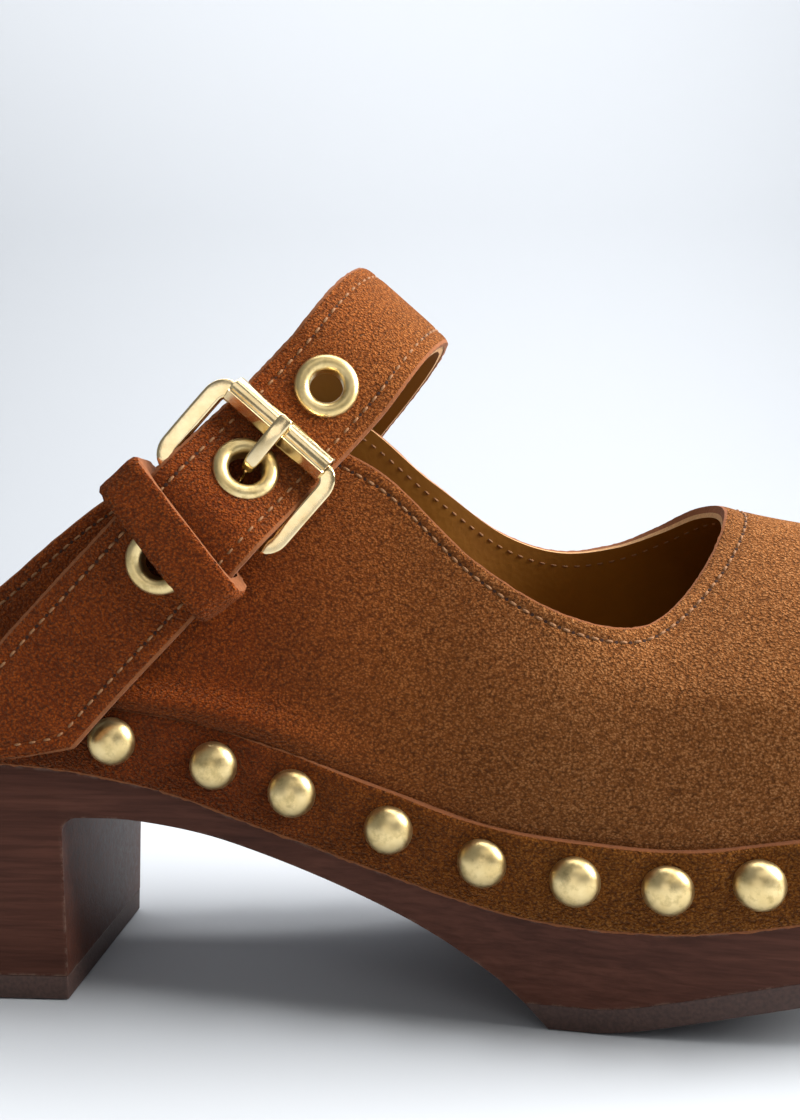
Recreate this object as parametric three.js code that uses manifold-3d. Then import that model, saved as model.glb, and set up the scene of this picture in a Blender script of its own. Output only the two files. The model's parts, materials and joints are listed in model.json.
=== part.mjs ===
// A wooden clog for the right foot: a one-piece wooden sole with a block heel,
// a suede upper nailed on under a studded rand, and an instep strap with a
// roller buckle.
//
// Frame while modelling, in millimetres: +X towards the toe, +Y towards the
// medial side, +Z up from the floor, X = 0 at the front face of the heel.  At
// the end the group is moved so that the middle of its box, at floor level, is
// the origin.

import * as THREE from 'three';
import { mergeVertices } from 'three/addons/utils/BufferGeometryUtils.js';
import Module from 'manifold-3d';

const wasm = await Module();
wasm.setup();

// ---------------------------------------------------------------- dimensions

const GAP = 0.3; // between pieces that touch on the real shoe

// Sole
const TREAD = 4.4; // rubber under the heel and the forefoot
const WALL_DRAFT = 0.083; // how far the sole's wall leans in, per mm down
const HEEL_BACK_DRAFT = 0.143;
const FOREFOOT_DRAFT = 0.19;
const BREAST_FILLET = 3;
const TREAD_START = 85.5; // where the forefoot meets the floor
const SOLE_TOP_BELOW_RAND = 1.5;

// Leather layers, from the inside out
const LINING = 1.0;
const TOE_PUFF = 0.7;
const SUEDE = 1.4;
const RAND = 1.5;
const RABBET = GAP + LINING + GAP + SUEDE; // recess that takes the upper's edge
const RAND_INNER = LINING + SUEDE + 2 * GAP; // measured out from the lining's inner face
const RAND_OUTER = RAND_INNER + RAND;
const SOCK_LINING = 1.6;

// Studs on the rand
const STUD_RADIUS = 4.45;
const STUD_HEIGHT = 3.0;
const NAIL_WIDTH = 1.3;
const NAIL_LENGTH = 12;
const STUD_PITCH = 15.9;
const STUD_LEVEL = -0.44; // on the rand: -1 at its lower edge, 0 at its upper edge
const LATERAL_STUD_X = [-22, -5.8, 10.2, 28.1, 42, 58.9, 74.9, 89.9, 104.4, 118.4];

// Strap, in its own frame: x across the shoe (medial is +), y up along the
// strap's plane, z along its width towards the toe, origin at the top fold
const STRAP_WIDTH = 21.2;
const STRAP_TILT = THREE.MathUtils.degToRad(48.65);
const STRAP_TOP = new THREE.Vector3(59.2, 0, 126.9);
const DRIFT_TOP = 0.4; // how far the strap's middle lies towards the toe at its fold
const DRIFT_BUCKLE = 2.4;
const DRIFT_TIP = 1.1;
const STRAP_SUEDE = 1.4;
const STRAP_LINING = 1.1;
const STRAP_HALF = (STRAP_SUEDE + STRAP_LINING + GAP) / 2;
const ARCH_RADIUS = 24;
const TIP_LENGTH = 11;

// Eyelets
const EYELET_LEVELS = [-21.2, -41, -60.6];
const EYELET_OUTER = 5.7;
const EYELET_BORE = 3.2;
const EYELET_BARREL = 3.7;
const EYELET_FLANGE = 0.5;
const WASHER_OUTER = 4.8;
const EYELET_STANDOFF = 0.35; // clears the strap where it bends

// Buckle, in the strap's frame
const BUCKLE_X = -30.6;
const REAR_BAR_Y = -48.5;
const FRONT_BAR_Y = -31.5;
const REAR_BAR_RADIUS = 1.2;
const FRONT_BAR_RADIUS = 1.4;
const ROLLER_RADIUS = 2.5;
const FRAME_INNER = 21.8;
const FRAME_ARM = 2.3;
const FRAME_THICK = 2.4;
const PRONG_WIDTH = 2.5;
const PRONG_THICK = 1.8;

// Buckle tab and keeper loop, in the strap's frame
const TAB_PLY = 1.0;
const TAB_SPREAD = 0.65; // either ply's middle from the bar's level
const TAB_WIDTH = 17;
const TAB_END_Y = -84;
const PRONG_SLOT = 4;
const KEEPER_Y = -57.2;
const KEEPER_SKEW = THREE.MathUtils.degToRad(11); // its heel-side end sits higher
const KEEPER_HEIGHT = 8.4;
const KEEPER_THICK = 1.2;
const KEEPER_SIDE_ROOM = 1.5;
const KEEPER_INNER_X = -27.6;
const KEEPER_OUTER_X = -39.2;

// Outline of the sole seen from above at the rand's lower edge, from the rear
// end of the rand on the lateral side, round the toe and back by the heel
const OUTLINE = [
  [-38, -23], [-20, -26.4], [5, -27], [35, -27.7], [62, -30.5], [90, -35.6],
  [115, -39.2], [140, -41], [160, -37], [178, -27], [190, -12], [194, 4],
  [187, 21], [172, 34], [152, 41.5], [132, 43], [108, 39.5], [85, 32.5],
  [60, 27.3], [30, 26.4], [0, 27], [-22, 26.2], [-38, 23], [-51, 13],
  [-56, 0], [-51, -13],
];
const RAND_END = 22; // index in OUTLINE where the rand ends on the medial side

// Side profiles as [x, z]
const ARCH = [[0, 34], [13.3, 33.7], [30.8, 30.1], [60.1, 18.8], [76.9, 8.6], [85.5, 0]];
const ROCKER = [
  [85.5, 0], [93, 0], [99, 0.8], [111, 3.7], [126, 7.3], [150, 13.2], [175, 20], [200, 28],
];
const RAND_LOWER = [
  [-60, 44], [-38, 44], [-4, 43], [17, 39.4], [33.4, 33.9], [60.2, 25.2],
  [77.5, 20.7], [94, 19], [110, 19.6], [125, 22.1], [150, 27], [175, 32], [200, 38],
];
const RAND_UPPER = [
  [-60, 55.6], [-38, 55.6], [-10, 55.3], [11, 53.8], [28.7, 50.6], [60, 40.2],
  [75.3, 35.6], [92, 33.8], [107, 33.4], [125, 36.1], [150, 40.6], [175, 46], [200, 52],
];

// Top edge of the upper's inner face, at equal steps of length round the sole
const TOPLINE = [
  [-38, -21.5, 58.5], [-16, -23.6, 70], [9, -22.6, 90], [33, -20.4, 102.5],
  [55, -21, 95.5], [74, -25.5, 78.5], [89, -27.5, 69.8], [100.5, -25.5, 67.4],
  [109.5, -19.5, 71.2], [117, -10.5, 78.6], [120.7, 0, 86], [118.5, 10, 86.5],
  [112.5, 17, 83.4], [104, 22, 80.2], [92.5, 24.5, 79], [81, 24, 82.5],
  [65, 20, 94], [44, 17.5, 109], [16, 21, 102], [-14, 23.6, 76], [-38, 21.5, 58.5],
];

// ------------------------------------------------------------------- curves

// Smooth height over x through hand-set points
function heightCurve(points) {
  const slope = (i) => {
    const a = points[Math.max(i - 1, 0)];
    const b = points[Math.min(i + 1, points.length - 1)];
    return (b[1] - a[1]) / (b[0] - a[0]);
  };
  return (x) => {
    let i = 0;
    while (i < points.length - 2 && x > points[i + 1][0]) i += 1;
    const span = points[i + 1][0] - points[i][0];
    const t = (x - points[i][0]) / span;
    const t2 = t * t;
    const t3 = t2 * t;
    return (2 * t3 - 3 * t2 + 1) * points[i][1] + (t3 - 2 * t2 + t) * slope(i) * span
      + (3 * t2 - 2 * t3) * points[i + 1][1] + (t3 - t2) * slope(i + 1) * span;
  };
}

const archHeight = heightCurve(ARCH);
const rockerCurve = heightCurve(ROCKER);
const rockerHeight = (x) => Math.max(0, rockerCurve(x));
const randLower = heightCurve(RAND_LOWER);
const randUpper = heightCurve(RAND_UPPER);
const soleTop = (x) => randUpper(x) - SOLE_TOP_BELOW_RAND;

function smoothstep(low, high, value) {
  return THREE.MathUtils.smoothstep(value, low, high);
}

const outline = new THREE.CatmullRomCurve3(
  OUTLINE.map(([x, y]) => new THREE.Vector3(x, y, 0)), true, 'centripetal',
);
outline.arcLengthDivisions = OUTLINE.length * 24;
const outlineLengths = outline.getLengths();
const RAND_SHARE = outlineLengths[RAND_END * 24] / outlineLengths.at(-1);
const RAND_LENGTH = outlineLengths[RAND_END * 24];

const topline = new THREE.CatmullRomCurve3(
  TOPLINE.map((p) => new THREE.Vector3(...p)), false, 'centripetal',
);

// A point of the outline moved in by inset; share runs 0 to 1 round the whole sole
function outlinePoint(share, inset) {
  const point = outline.getPointAt(share % 1);
  const along = outline.getTangentAt(share % 1);
  return point.add(new THREE.Vector3(-along.y, along.x, 0).multiplyScalar(inset));
}

// Inner face of the upper.  u runs round the sole from the lateral end of the
// rand to the medial one; v is -1 at the rand's lower edge, 0 at its upper edge
// and 1 at the topline
function upperFace(u, v) {
  const share = THREE.MathUtils.clamp(u, 0, 1) * RAND_SHARE;
  const { x } = outlinePoint(share, 0);
  const wall = outlinePoint(share, RABBET - GAP);
  wall.z = THREE.MathUtils.lerp(randUpper(x), randLower(x) + GAP, Math.max(-v, 0));
  if (v <= 0) return wall;
  const along = outline.getTangentAt(share);
  const outward = new THREE.Vector3(along.y, -along.x, 0);
  const top = topline.getPoint(THREE.MathUtils.clamp(u, 0, 1));
  const reach = wall.distanceTo(top);
  const toe = 1 - smoothstep(0.02, 0.22, Math.abs(u - 0.5));
  const fall = THREE.MathUtils.degToRad(THREE.MathUtils.lerp(80, 14, toe));
  const lift = new THREE.Vector3(0, 0, 1).addScaledVector(outward, 0.06 + 0.08 * toe);
  const drop = outward.multiplyScalar(Math.cos(fall)).setZ(-Math.sin(fall));
  const low = wall.clone().addScaledVector(lift, reach * 0.36);
  const high = top.clone().addScaledVector(drop, reach * THREE.MathUtils.lerp(0.34, 0.5, toe));
  return new THREE.CubicBezierCurve3(wall, low, high, top).getPoint(Math.min(v, 1));
}

function upperNormal(u, v) {
  const step = 0.004;
  const u0 = Math.max(u - step, 0);
  const u1 = Math.min(u + step, 1);
  const v0 = Math.max(v - step, -1);
  const v1 = Math.min(v + step, 1);
  const across = upperFace(u1, v).sub(upperFace(u0, v));
  const up = upperFace(u, v1).sub(upperFace(u, v0));
  return across.cross(up).normalize();
}

// The same face moved out by an offset, for the layers of the upper
function upperLayer(u, v, offset) {
  return upperFace(u, v).addScaledVector(upperNormal(u, v), offset);
}

// ------------------------------------------------------------------- solids

// Turns every face outwards and gives the solid that manifold-3d works on
function toSolid(positions, triangles) {
  let volume = 0;
  const corner = (i) => new THREE.Vector3(...positions.slice(3 * i, 3 * i + 3));
  for (let i = 0; i < triangles.length; i += 3) {
    const [a, b, c] = triangles.slice(i, i + 3).map(corner);
    volume += a.dot(b.cross(c));
  }
  const triVerts = volume > 0 ? triangles : triangles.slice().reverse();
  return new wasm.Manifold(new wasm.Mesh({
    numProp: 3,
    vertProperties: new Float32Array(positions),
    triVerts: new Uint32Array(triVerts),
  }));
}

function solidOf(geometry, matrix = new THREE.Matrix4()) {
  const plain = geometry.clone().applyMatrix4(matrix);
  plain.deleteAttribute('normal');
  plain.deleteAttribute('uv');
  const merged = mergeVertices(plain, 1e-4);
  return toSolid([...merged.attributes.position.array], [...merged.index.array]);
}

function geometryOf(solid) {
  const mesh = solid.getMesh();
  const geometry = new THREE.BufferGeometry();
  geometry.setAttribute('position', new THREE.Float32BufferAttribute(mesh.vertProperties, 3));
  geometry.setIndex([...mesh.triVerts]);
  geometry.computeVertexNormals();
  return geometry;
}

// A closed solid through rings of equal count, capped by flat ends
function loftSolid(rings) {
  const count = rings[0].length;
  const positions = rings.flat().flatMap((p) => [p.x, p.y, p.z]);
  const triangles = [];
  for (let r = 0; r < rings.length - 1; r += 1) {
    for (let i = 0; i < count; i += 1) {
      const a = r * count + i;
      const b = r * count + ((i + 1) % count);
      triangles.push(a, b, a + count, b, b + count, a + count);
    }
  }
  const cap = (ring) => THREE.ShapeUtils.triangulateShape(ring.map((p) => new THREE.Vector2(p.x, p.y)), []);
  const last = (rings.length - 1) * count;
  cap(rings[0]).forEach(([a, b, c]) => triangles.push(a, c, b));
  cap(rings.at(-1)).forEach(([a, b, c]) => triangles.push(last + a, last + b, last + c));
  return toSolid(positions, triangles);
}

// A closed solid between two faces that share a grid of columns and rows;
// face(column, row, side) gives a point, side 0 inside and 1 outside
function shellSolid(columns, rows, face) {
  const positions = [];
  const index = (c, r, side) => (side * (columns + 1) + c) * (rows + 1) + r;
  for (let side = 0; side < 2; side += 1) {
    for (let c = 0; c <= columns; c += 1) {
      for (let r = 0; r <= rows; r += 1) positions.push(...face(c, r, side).toArray());
    }
  }
  const triangles = [];
  const quad = (a, b, c, d) => triangles.push(a, b, c, a, c, d);
  for (let c = 0; c < columns; c += 1) {
    for (let r = 0; r < rows; r += 1) {
      quad(index(c, r, 1), index(c + 1, r, 1), index(c + 1, r + 1, 1), index(c, r + 1, 1));
      quad(index(c, r, 0), index(c, r + 1, 0), index(c + 1, r + 1, 0), index(c + 1, r, 0));
    }
    quad(index(c, 0, 0), index(c + 1, 0, 0), index(c + 1, 0, 1), index(c, 0, 1));
    quad(index(c, rows, 1), index(c + 1, rows, 1), index(c + 1, rows, 0), index(c, rows, 0));
  }
  for (let r = 0; r < rows; r += 1) {
    quad(index(0, r, 1), index(0, r + 1, 1), index(0, r + 1, 0), index(0, r, 0));
    quad(index(columns, r, 0), index(columns, r + 1, 0), index(columns, r + 1, 1), index(columns, r, 1));
  }
  return toSolid(positions, triangles);
}

// A flat outline of [x, y] points pulled out evenly to both sides of z = 0
function slabGeometry(points, width) {
  const shape = new THREE.Shape(points.map(([x, y]) => new THREE.Vector2(x, y)));
  const geometry = new THREE.ExtrudeGeometry(shape, { depth: width, bevelEnabled: false });
  return geometry.translate(0, 0, -width / 2);
}

// The same in the side view: [x, z] points pulled out along y
function sideSlab(points, width) {
  const shape = new THREE.Shape(points.map(([x, z]) => new THREE.Vector2(x, z)));
  const geometry = new THREE.ExtrudeGeometry(shape, { depth: width, bevelEnabled: false });
  return solidOf(geometry.translate(0, 0, -width / 2).rotateX(Math.PI / 2));
}

// A turned piece with its axis along direction, from a profile of [radius, height]
function turned(profile, segments, place, direction) {
  const points = profile.map(([r, h]) => new THREE.Vector2(r, h));
  const turn = new THREE.Quaternion().setFromUnitVectors(new THREE.Vector3(0, 1, 0), direction);
  const matrix = new THREE.Matrix4().compose(place, turn, new THREE.Vector3(1, 1, 1));
  return solidOf(new THREE.LatheGeometry(points, segments), matrix);
}

function span(from, to, steps, pointAt) {
  return Array.from({ length: steps + 1 }, (_, i) => pointAt(from + ((to - from) * i) / steps));
}

// ------------------------------------------------------------------ colours

function finish(colour, roughness, metalness = 0) {
  return new THREE.MeshStandardMaterial({ color: colour, roughness, metalness });
}

const WOOD = finish(0x4a2c24, 0.45);
const RUBBER = finish(0x201512, 0.75);
const COGNAC = finish(0x8c5230, 0.95);
const TAN = finish(0x8f6432, 0.7);
const FELT = finish(0xcbbda2, 0.95);
const BRASS = finish(0xcdb98a, 0.3, 1);

const clog = new THREE.Group();
const strapFrame = new THREE.Group();
clog.add(strapFrame);

function addPiece(parent, name, solid, material) {
  const mesh = new THREE.Mesh(geometryOf(solid), material);
  mesh.name = name;
  parent.add(mesh);
}

// --------------------------------------------------------------------- sole

const UPPER_COLUMNS = 46; // facets along the upper, shared by every layer and the sole
const HEEL_COLUMNS = 9; // facets round the bare back of the heel

const wallShares = [
  ...span(0, RAND_SHARE, UPPER_COLUMNS, (share) => share),
  ...span(1, HEEL_COLUMNS - 1, HEEL_COLUMNS - 2, (i) => (
    RAND_SHARE + ((1 - RAND_SHARE) * i) / HEEL_COLUMNS)),
];

// The sole's wall at one height, level or following a height curve
function wallRing(heightAt, insetAt) {
  return wallShares.map((share) => {
    const { x } = outlinePoint(share, 0);
    return outlinePoint(share, insetAt(x, heightAt(x), share)).setZ(heightAt(x));
  });
}

function draft(x, z) {
  const back = (HEEL_BACK_DRAFT - WALL_DRAFT) * (1 - smoothstep(-56, -25, x));
  const front = (FOREFOOT_DRAFT - WALL_DRAFT) * smoothstep(58, 90, x);
  return (randLower(x) - z) * (WALL_DRAFT + back + front);
}

function soleBlock(rabbet) {
  const recess = (x, z, share) => (share <= RAND_SHARE + 1e-6 ? rabbet : 0);
  return loftSolid([
    wallRing(() => -1, draft),
    wallRing(randLower, () => 0),
    wallRing(randLower, recess),
    wallRing(() => 70, recess),
  ]);
}

function archProfile() {
  const stations = [8, 13.3, 20, 30.8, 45, 60.1, 69, 76.9];
  return [[0, ARCH[0][1] - BREAST_FILLET], [1, 33], ...stations.map((x) => [x, archHeight(x)])];
}

function rockerProfile(lift) {
  return span(81.5, 201.5, 20, (x) => [x, rockerHeight(Math.max(x, TREAD_START)) + lift]);
}

function woodenSole(bores) {
  const top = span(202, -62, 34, (x) => [x, soleTop(x)]);
  const underside = TREAD + GAP;
  const profile = [[-62, underside], [0, underside], ...archProfile(), ...rockerProfile(underside), ...top];
  return soleBlock(RABBET).intersect(sideSlab(profile, 120)).subtract(bores);
}

function heelTopPiece() {
  return soleBlock(0).intersect(sideSlab([[-62, 0], [0, 0], [0, TREAD], [-62, TREAD]], 120));
}

function forefootOutsole() {
  const lower = [[TREAD_START, 0], ...rockerProfile(0).filter(([x]) => x > TREAD_START)];
  return soleBlock(0).intersect(sideSlab([...lower, ...rockerProfile(TREAD).reverse()], 120));
}

function sockLining() {
  const inset = RABBET + LINING + 1.2;
  const block = loftSolid([wallRing(() => 10, () => inset), wallRing(() => 80, () => inset)]);
  const lower = span(-60, 198, 34, (x) => [x, soleTop(x) + GAP]);
  const upper = span(198, -60, 34, (x) => [x, soleTop(x) + GAP + SOCK_LINING]);
  return block.intersect(sideSlab([...lower, ...upper], 120));
}

// -------------------------------------------------------------------- upper

const UPPER_LEVELS = [-1, 0, 0.16, 0.36, 0.58, 0.8, 1];

// 1 where the toe puff lies between lining and suede, 0 away from it
function puffCover(u, v) {
  const along = 1 - smoothstep(0.12, 0.17, Math.abs(u - 0.5));
  const up = smoothstep(0, 0.16, v) * (1 - smoothstep(0.58, 0.8, v));
  return along * up;
}

function upperLining(bores) {
  return shellSolid(UPPER_COLUMNS, UPPER_LEVELS.length - 1, (c, r, side) => (
    upperLayer(c / UPPER_COLUMNS, UPPER_LEVELS[r], side * LINING)
  )).subtract(bores);
}

function upperSuede(bores) {
  return shellSolid(UPPER_COLUMNS, UPPER_LEVELS.length - 1, (c, r, side) => {
    const u = c / UPPER_COLUMNS;
    const v = UPPER_LEVELS[r];
    const puff = puffCover(u, v) * (TOE_PUFF + GAP);
    return upperLayer(u, v, LINING + GAP + puff + side * SUEDE);
  }).subtract(bores);
}

function toePuff() {
  const levels = [0.17, 0.36, 0.57];
  return shellSolid(10, 2, (c, r, side) => (
    upperLayer(0.39 + 0.022 * c, levels[r], LINING + GAP + side * TOE_PUFF)
  ));
}

function randStrip(bores) {
  return shellSolid(UPPER_COLUMNS, 1, (c, r, side) => (
    upperLayer(c / UPPER_COLUMNS, r - 1, RAND_INNER + side * RAND)
  )).subtract(bores);
}

// -------------------------------------------------------------------- studs

// Where the lateral side of the upper passes a given x
function lateralShare(x) {
  let low = 0;
  let high = 0.45;
  for (let i = 0; i < 30; i += 1) {
    const middle = (low + high) / 2;
    if (upperFace(middle, -0.5).x < x) low = middle;
    else high = middle;
  }
  return low;
}

// The lateral studs stand where they were nailed; the rest follow at one pitch
function studShares() {
  const lateral = LATERAL_STUD_X.map(lateralShare);
  const left = RAND_LENGTH * (1 - lateral.at(-1)) - STUD_PITCH * 0.5;
  const count = Math.floor(left / STUD_PITCH);
  const step = STUD_PITCH / RAND_LENGTH;
  return [...lateral, ...span(1, count, count - 1, (i) => lateral.at(-1) + i * step)];
}

function nail(share, width, from, to) {
  const normal = upperNormal(share, STUD_LEVEL);
  const centre = upperLayer(share, STUD_LEVEL, RAND_OUTER + (from + to) / 2);
  const turn = new THREE.Quaternion().setFromUnitVectors(new THREE.Vector3(0, 1, 0), normal);
  const matrix = new THREE.Matrix4().compose(centre, turn, new THREE.Vector3(1, 1, 1));
  return solidOf(new THREE.BoxGeometry(width, to - from, width), matrix);
}

function stud(share) {
  const dome = [[0, 0], [STUD_RADIUS - 0.5, 0]];
  for (const angle of [8, 36, 64]) {
    const turn = THREE.MathUtils.degToRad(angle);
    dome.push([STUD_RADIUS * Math.cos(turn), STUD_HEIGHT * Math.sin(turn)]);
  }
  dome.push([0, STUD_HEIGHT]);
  const seat = upperLayer(share, STUD_LEVEL, RAND_OUTER + GAP);
  const head = turned(dome, 8, seat, upperNormal(share, STUD_LEVEL));
  return head.add(nail(share, NAIL_WIDTH, -NAIL_LENGTH, GAP + 0.5));
}

function boreFor(share) {
  return nail(share, NAIL_WIDTH + 2 * GAP, -NAIL_LENGTH - GAP, 2);
}

// -------------------------------------------------------------------- strap

// Middle of the strap's thickness, from its medial end to its free tip
const strapPath = new THREE.CatmullRomCurve3([
  [29.9, -82], [29.6, -60], [28, -40], [25, -26],
  ...span(15, 130, 5, (angle) => {
    const turn = THREE.MathUtils.degToRad(angle);
    return [ARCH_RADIUS * Math.cos(turn), ARCH_RADIUS * (Math.sin(turn) - 1)];
  }),
  [-21, -12.5], [-24, -24], [-26.1, -31.5], [-30.9, -40.6], [-35.2, -48.4], [-35.5, -56],
  [-34.9, -66], [-34.2, -85], [-34.8, -105.5],
].map(([x, y]) => new THREE.Vector3(x, y, 0)), false, 'centripetal');

function pathNormal(path, share) {
  const along = path.getTangentAt(share);
  return new THREE.Vector3(along.y, -along.x, 0);
}

// The strap lies a little closer to the toe beside the buckle than at its ends
function drift(x, y) {
  const down = x < 0 ? smoothstep(0, 20, -y) : 0;
  const end = smoothstep(50, 90, -y);
  return THREE.MathUtils.lerp(DRIFT_TOP, THREE.MathUtils.lerp(DRIFT_BUCKLE, DRIFT_TIP, end), down);
}

function followDrift(geometry) {
  const place = geometry.attributes.position;
  for (let i = 0; i < place.count; i += 1) {
    place.setZ(i, place.getZ(i) + drift(place.getX(i), place.getY(i)));
  }
  return geometry;
}

// A band beside a path, between two distances from it, cut by straight ends
function bandPoints(path, near, far, steps) {
  const edge = (distance) => (share) => {
    const point = path.getPointAt(share).addScaledVector(pathNormal(path, share), distance);
    return [point.x, point.y];
  };
  return [...span(0, 1, steps, edge(near)), ...span(1, 0, steps, edge(far))];
}

// Where the strap's lateral half passes a level
function strapShare(level) {
  let low = 0.4;
  let high = 1;
  for (let i = 0; i < 30; i += 1) {
    const middle = (low + high) / 2;
    if (strapPath.getPointAt(middle).y > level) low = middle;
    else high = middle;
  }
  return low;
}

// A turned piece set square into the strap at a level of its lateral half
function turnedInStrap(profile, segments, level) {
  const share = strapShare(level);
  const place = strapPath.getPointAt(share).setZ(drift(-1, level));
  return turned(profile, segments, place, pathNormal(strapPath, share));
}

function eyeletHoles() {
  const hole = [[0, -5], [EYELET_BARREL + GAP, -5], [EYELET_BARREL + GAP, 5], [0, 5]];
  return EYELET_LEVELS.map((level) => turnedInStrap(hole, 16, level));
}

// Turns a shape drawn as (y, z) in the strap's frame to face along x
const LEVEL_AND_WIDTH = new THREE.Matrix4().makeBasis(
  new THREE.Vector3(0, 1, 0), new THREE.Vector3(0, 0, 1), new THREE.Vector3(1, 0, 0),
);

// Cuts the free end to a blunt point
function tipCutter(side) {
  const end = strapPath.getPointAt(1).y;
  const half = STRAP_WIDTH / 2;
  const corners = [[end - 1, side * 1.5], [end + TIP_LENGTH, side * (half + 0.05)],
    [end + TIP_LENGTH, side * (half + 8)], [end - 1, side * (half + 8)]];
  const shape = new THREE.Shape(corners.map(([y, z]) => new THREE.Vector2(y, z + DRIFT_TIP)));
  const geometry = new THREE.ExtrudeGeometry(shape, { depth: 20, bevelEnabled: false });
  return solidOf(geometry.translate(0, 0, -44), LEVEL_AND_WIDTH);
}

function strapLayer(near, far) {
  let layer = solidOf(followDrift(slabGeometry(bandPoints(strapPath, near, far, 40), STRAP_WIDTH)));
  for (const cutter of [...eyeletHoles(), tipCutter(1), tipCutter(-1)]) layer = layer.subtract(cutter);
  return layer;
}

function eyelet(level) {
  const face = STRAP_HALF + EYELET_STANDOFF;
  const profile = [[EYELET_BORE, -STRAP_HALF - 1], [EYELET_BARREL, -STRAP_HALF - 1],
    [EYELET_BARREL, face], [EYELET_OUTER - 0.3, face], [EYELET_OUTER, face + 0.2],
    [EYELET_OUTER - 1, face + EYELET_FLANGE], [EYELET_BORE + 0.7, face + EYELET_FLANGE],
    [EYELET_BORE, face - 0.2], [EYELET_BORE, -STRAP_HALF - 1]];
  return turnedInStrap(profile, 18, level);
}

function eyeletWasher(level) {
  const face = -STRAP_HALF - EYELET_STANDOFF;
  const inner = EYELET_BARREL + 0.25;
  const profile = [[inner, face - 0.45], [WASHER_OUTER, face - 0.45],
    [WASHER_OUTER, face], [inner, face], [inner, face - 0.45]];
  return turnedInStrap(profile, 18, level);
}

// ------------------------------------------------------------------- buckle

const WIDTHWISE = new THREE.Vector3(0, 0, 1);

function rod(y, radius, length, segments = 14) {
  const profile = [[0, -length / 2], [radius, -length / 2], [radius, length / 2], [0, length / 2]];
  return turned(profile, segments, new THREE.Vector3(BUCKLE_X, y, DRIFT_BUCKLE), WIDTHWISE);
}

function tube(y, inner, outer, length, segments = 16) {
  const profile = [[inner, -length / 2], [outer, -length / 2], [outer, length / 2],
    [inner, length / 2], [inner, -length / 2]];
  return turned(profile, segments, new THREE.Vector3(BUCKLE_X, y, DRIFT_BUCKLE), WIDTHWISE);
}

// One side arm with rounded ends, seen along the strap's outward direction
function frameArm(side) {
  const half = FRAME_ARM / 2;
  const shape = new THREE.Shape();
  shape.absarc(REAR_BAR_Y, 0, half, Math.PI / 2, (3 * Math.PI) / 2);
  shape.absarc(FRONT_BAR_Y, 0, half, -Math.PI / 2, Math.PI / 2);
  const geometry = new THREE.ExtrudeGeometry(shape, {
    depth: FRAME_THICK - 0.8,
    bevelThickness: 0.4,
    bevelSize: 0.35,
    bevelOffset: -0.35,
    bevelSegments: 1,
    curveSegments: 6,
  });
  const axes = LEVEL_AND_WIDTH.clone();
  axes.setPosition(BUCKLE_X, 0, DRIFT_BUCKLE + (side * (FRAME_INNER + FRAME_ARM)) / 2);
  return solidOf(geometry.translate(0, 0, -FRAME_THICK / 2 + 0.4), axes);
}

function buckleFrame() {
  return frameArm(1)
    .add(frameArm(-1))
    .add(rod(REAR_BAR_Y, REAR_BAR_RADIUS, FRAME_INNER + 1))
    .add(rod(FRONT_BAR_Y, FRONT_BAR_RADIUS, FRAME_INNER + 1));
}

function buckleRoller() {
  return tube(FRONT_BAR_Y, FRONT_BAR_RADIUS + GAP, ROLLER_RADIUS, FRAME_INNER - 2 * GAP);
}

// The prong wraps the rear bar, rises through the eyelet and rests on the roller
function buckleProng() {
  const rest = BUCKLE_X - ROLLER_RADIUS - PRONG_THICK / 2 - GAP;
  const path = new THREE.CatmullRomCurve3([
    [BUCKLE_X + 2, -47.6], [BUCKLE_X + 2.5, -45.9], [BUCKLE_X + 2.7, -44],
    [BUCKLE_X + 1, -41.5], [BUCKLE_X - 2, -39.1], [rest + 0.5, -35.8],
    [rest, -32], [rest + 0.2, -29.2],
  ].map(([x, y]) => new THREE.Vector3(x, y, 0)), false, 'centripetal');
  const band = slabGeometry(bandPoints(path, -PRONG_THICK / 2, PRONG_THICK / 2, 14), PRONG_WIDTH);
  const bore = rod(REAR_BAR_Y, REAR_BAR_RADIUS + GAP, 10);
  const eye = tube(REAR_BAR_Y, REAR_BAR_RADIUS + GAP, REAR_BAR_RADIUS + 1.3, PRONG_WIDTH);
  return solidOf(band.translate(0, 0, DRIFT_BUCKLE)).add(eye).subtract(bore);
}

// The tab is one ply folded round the rear bar, slotted for the prong
function buckleTab() {
  const radius = REAR_BAR_RADIUS + GAP + TAB_PLY / 2;
  const points = [TAB_END_Y, -70, -57, -54.4, -53.2].map((y) => [BUCKLE_X + TAB_SPREAD, y]);
  for (const angle of [-25, 20, 65, 115, 160, 205]) {
    const turn = THREE.MathUtils.degToRad(angle);
    points.push([BUCKLE_X + radius * Math.cos(turn), REAR_BAR_Y + radius * Math.sin(turn)]);
  }
  points.push(...[-53.2, -54.4, -57, -70, TAB_END_Y].map((y) => [BUCKLE_X - TAB_SPREAD, y]));
  const path = new THREE.CatmullRomCurve3(
    points.map(([x, y]) => new THREE.Vector3(x, y, 0)), false, 'centripetal',
  );
  const ply = slabGeometry(bandPoints(path, -TAB_PLY / 2, TAB_PLY / 2, 40), TAB_WIDTH);
  const slot = new THREE.BoxGeometry(8, 9, PRONG_SLOT).translate(BUCKLE_X, REAR_BAR_Y + 1.5, 0);
  return solidOf(ply.translate(0, 0, DRIFT_BUCKLE)).subtract(solidOf(slot.translate(0, 0, DRIFT_BUCKLE)));
}

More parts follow.
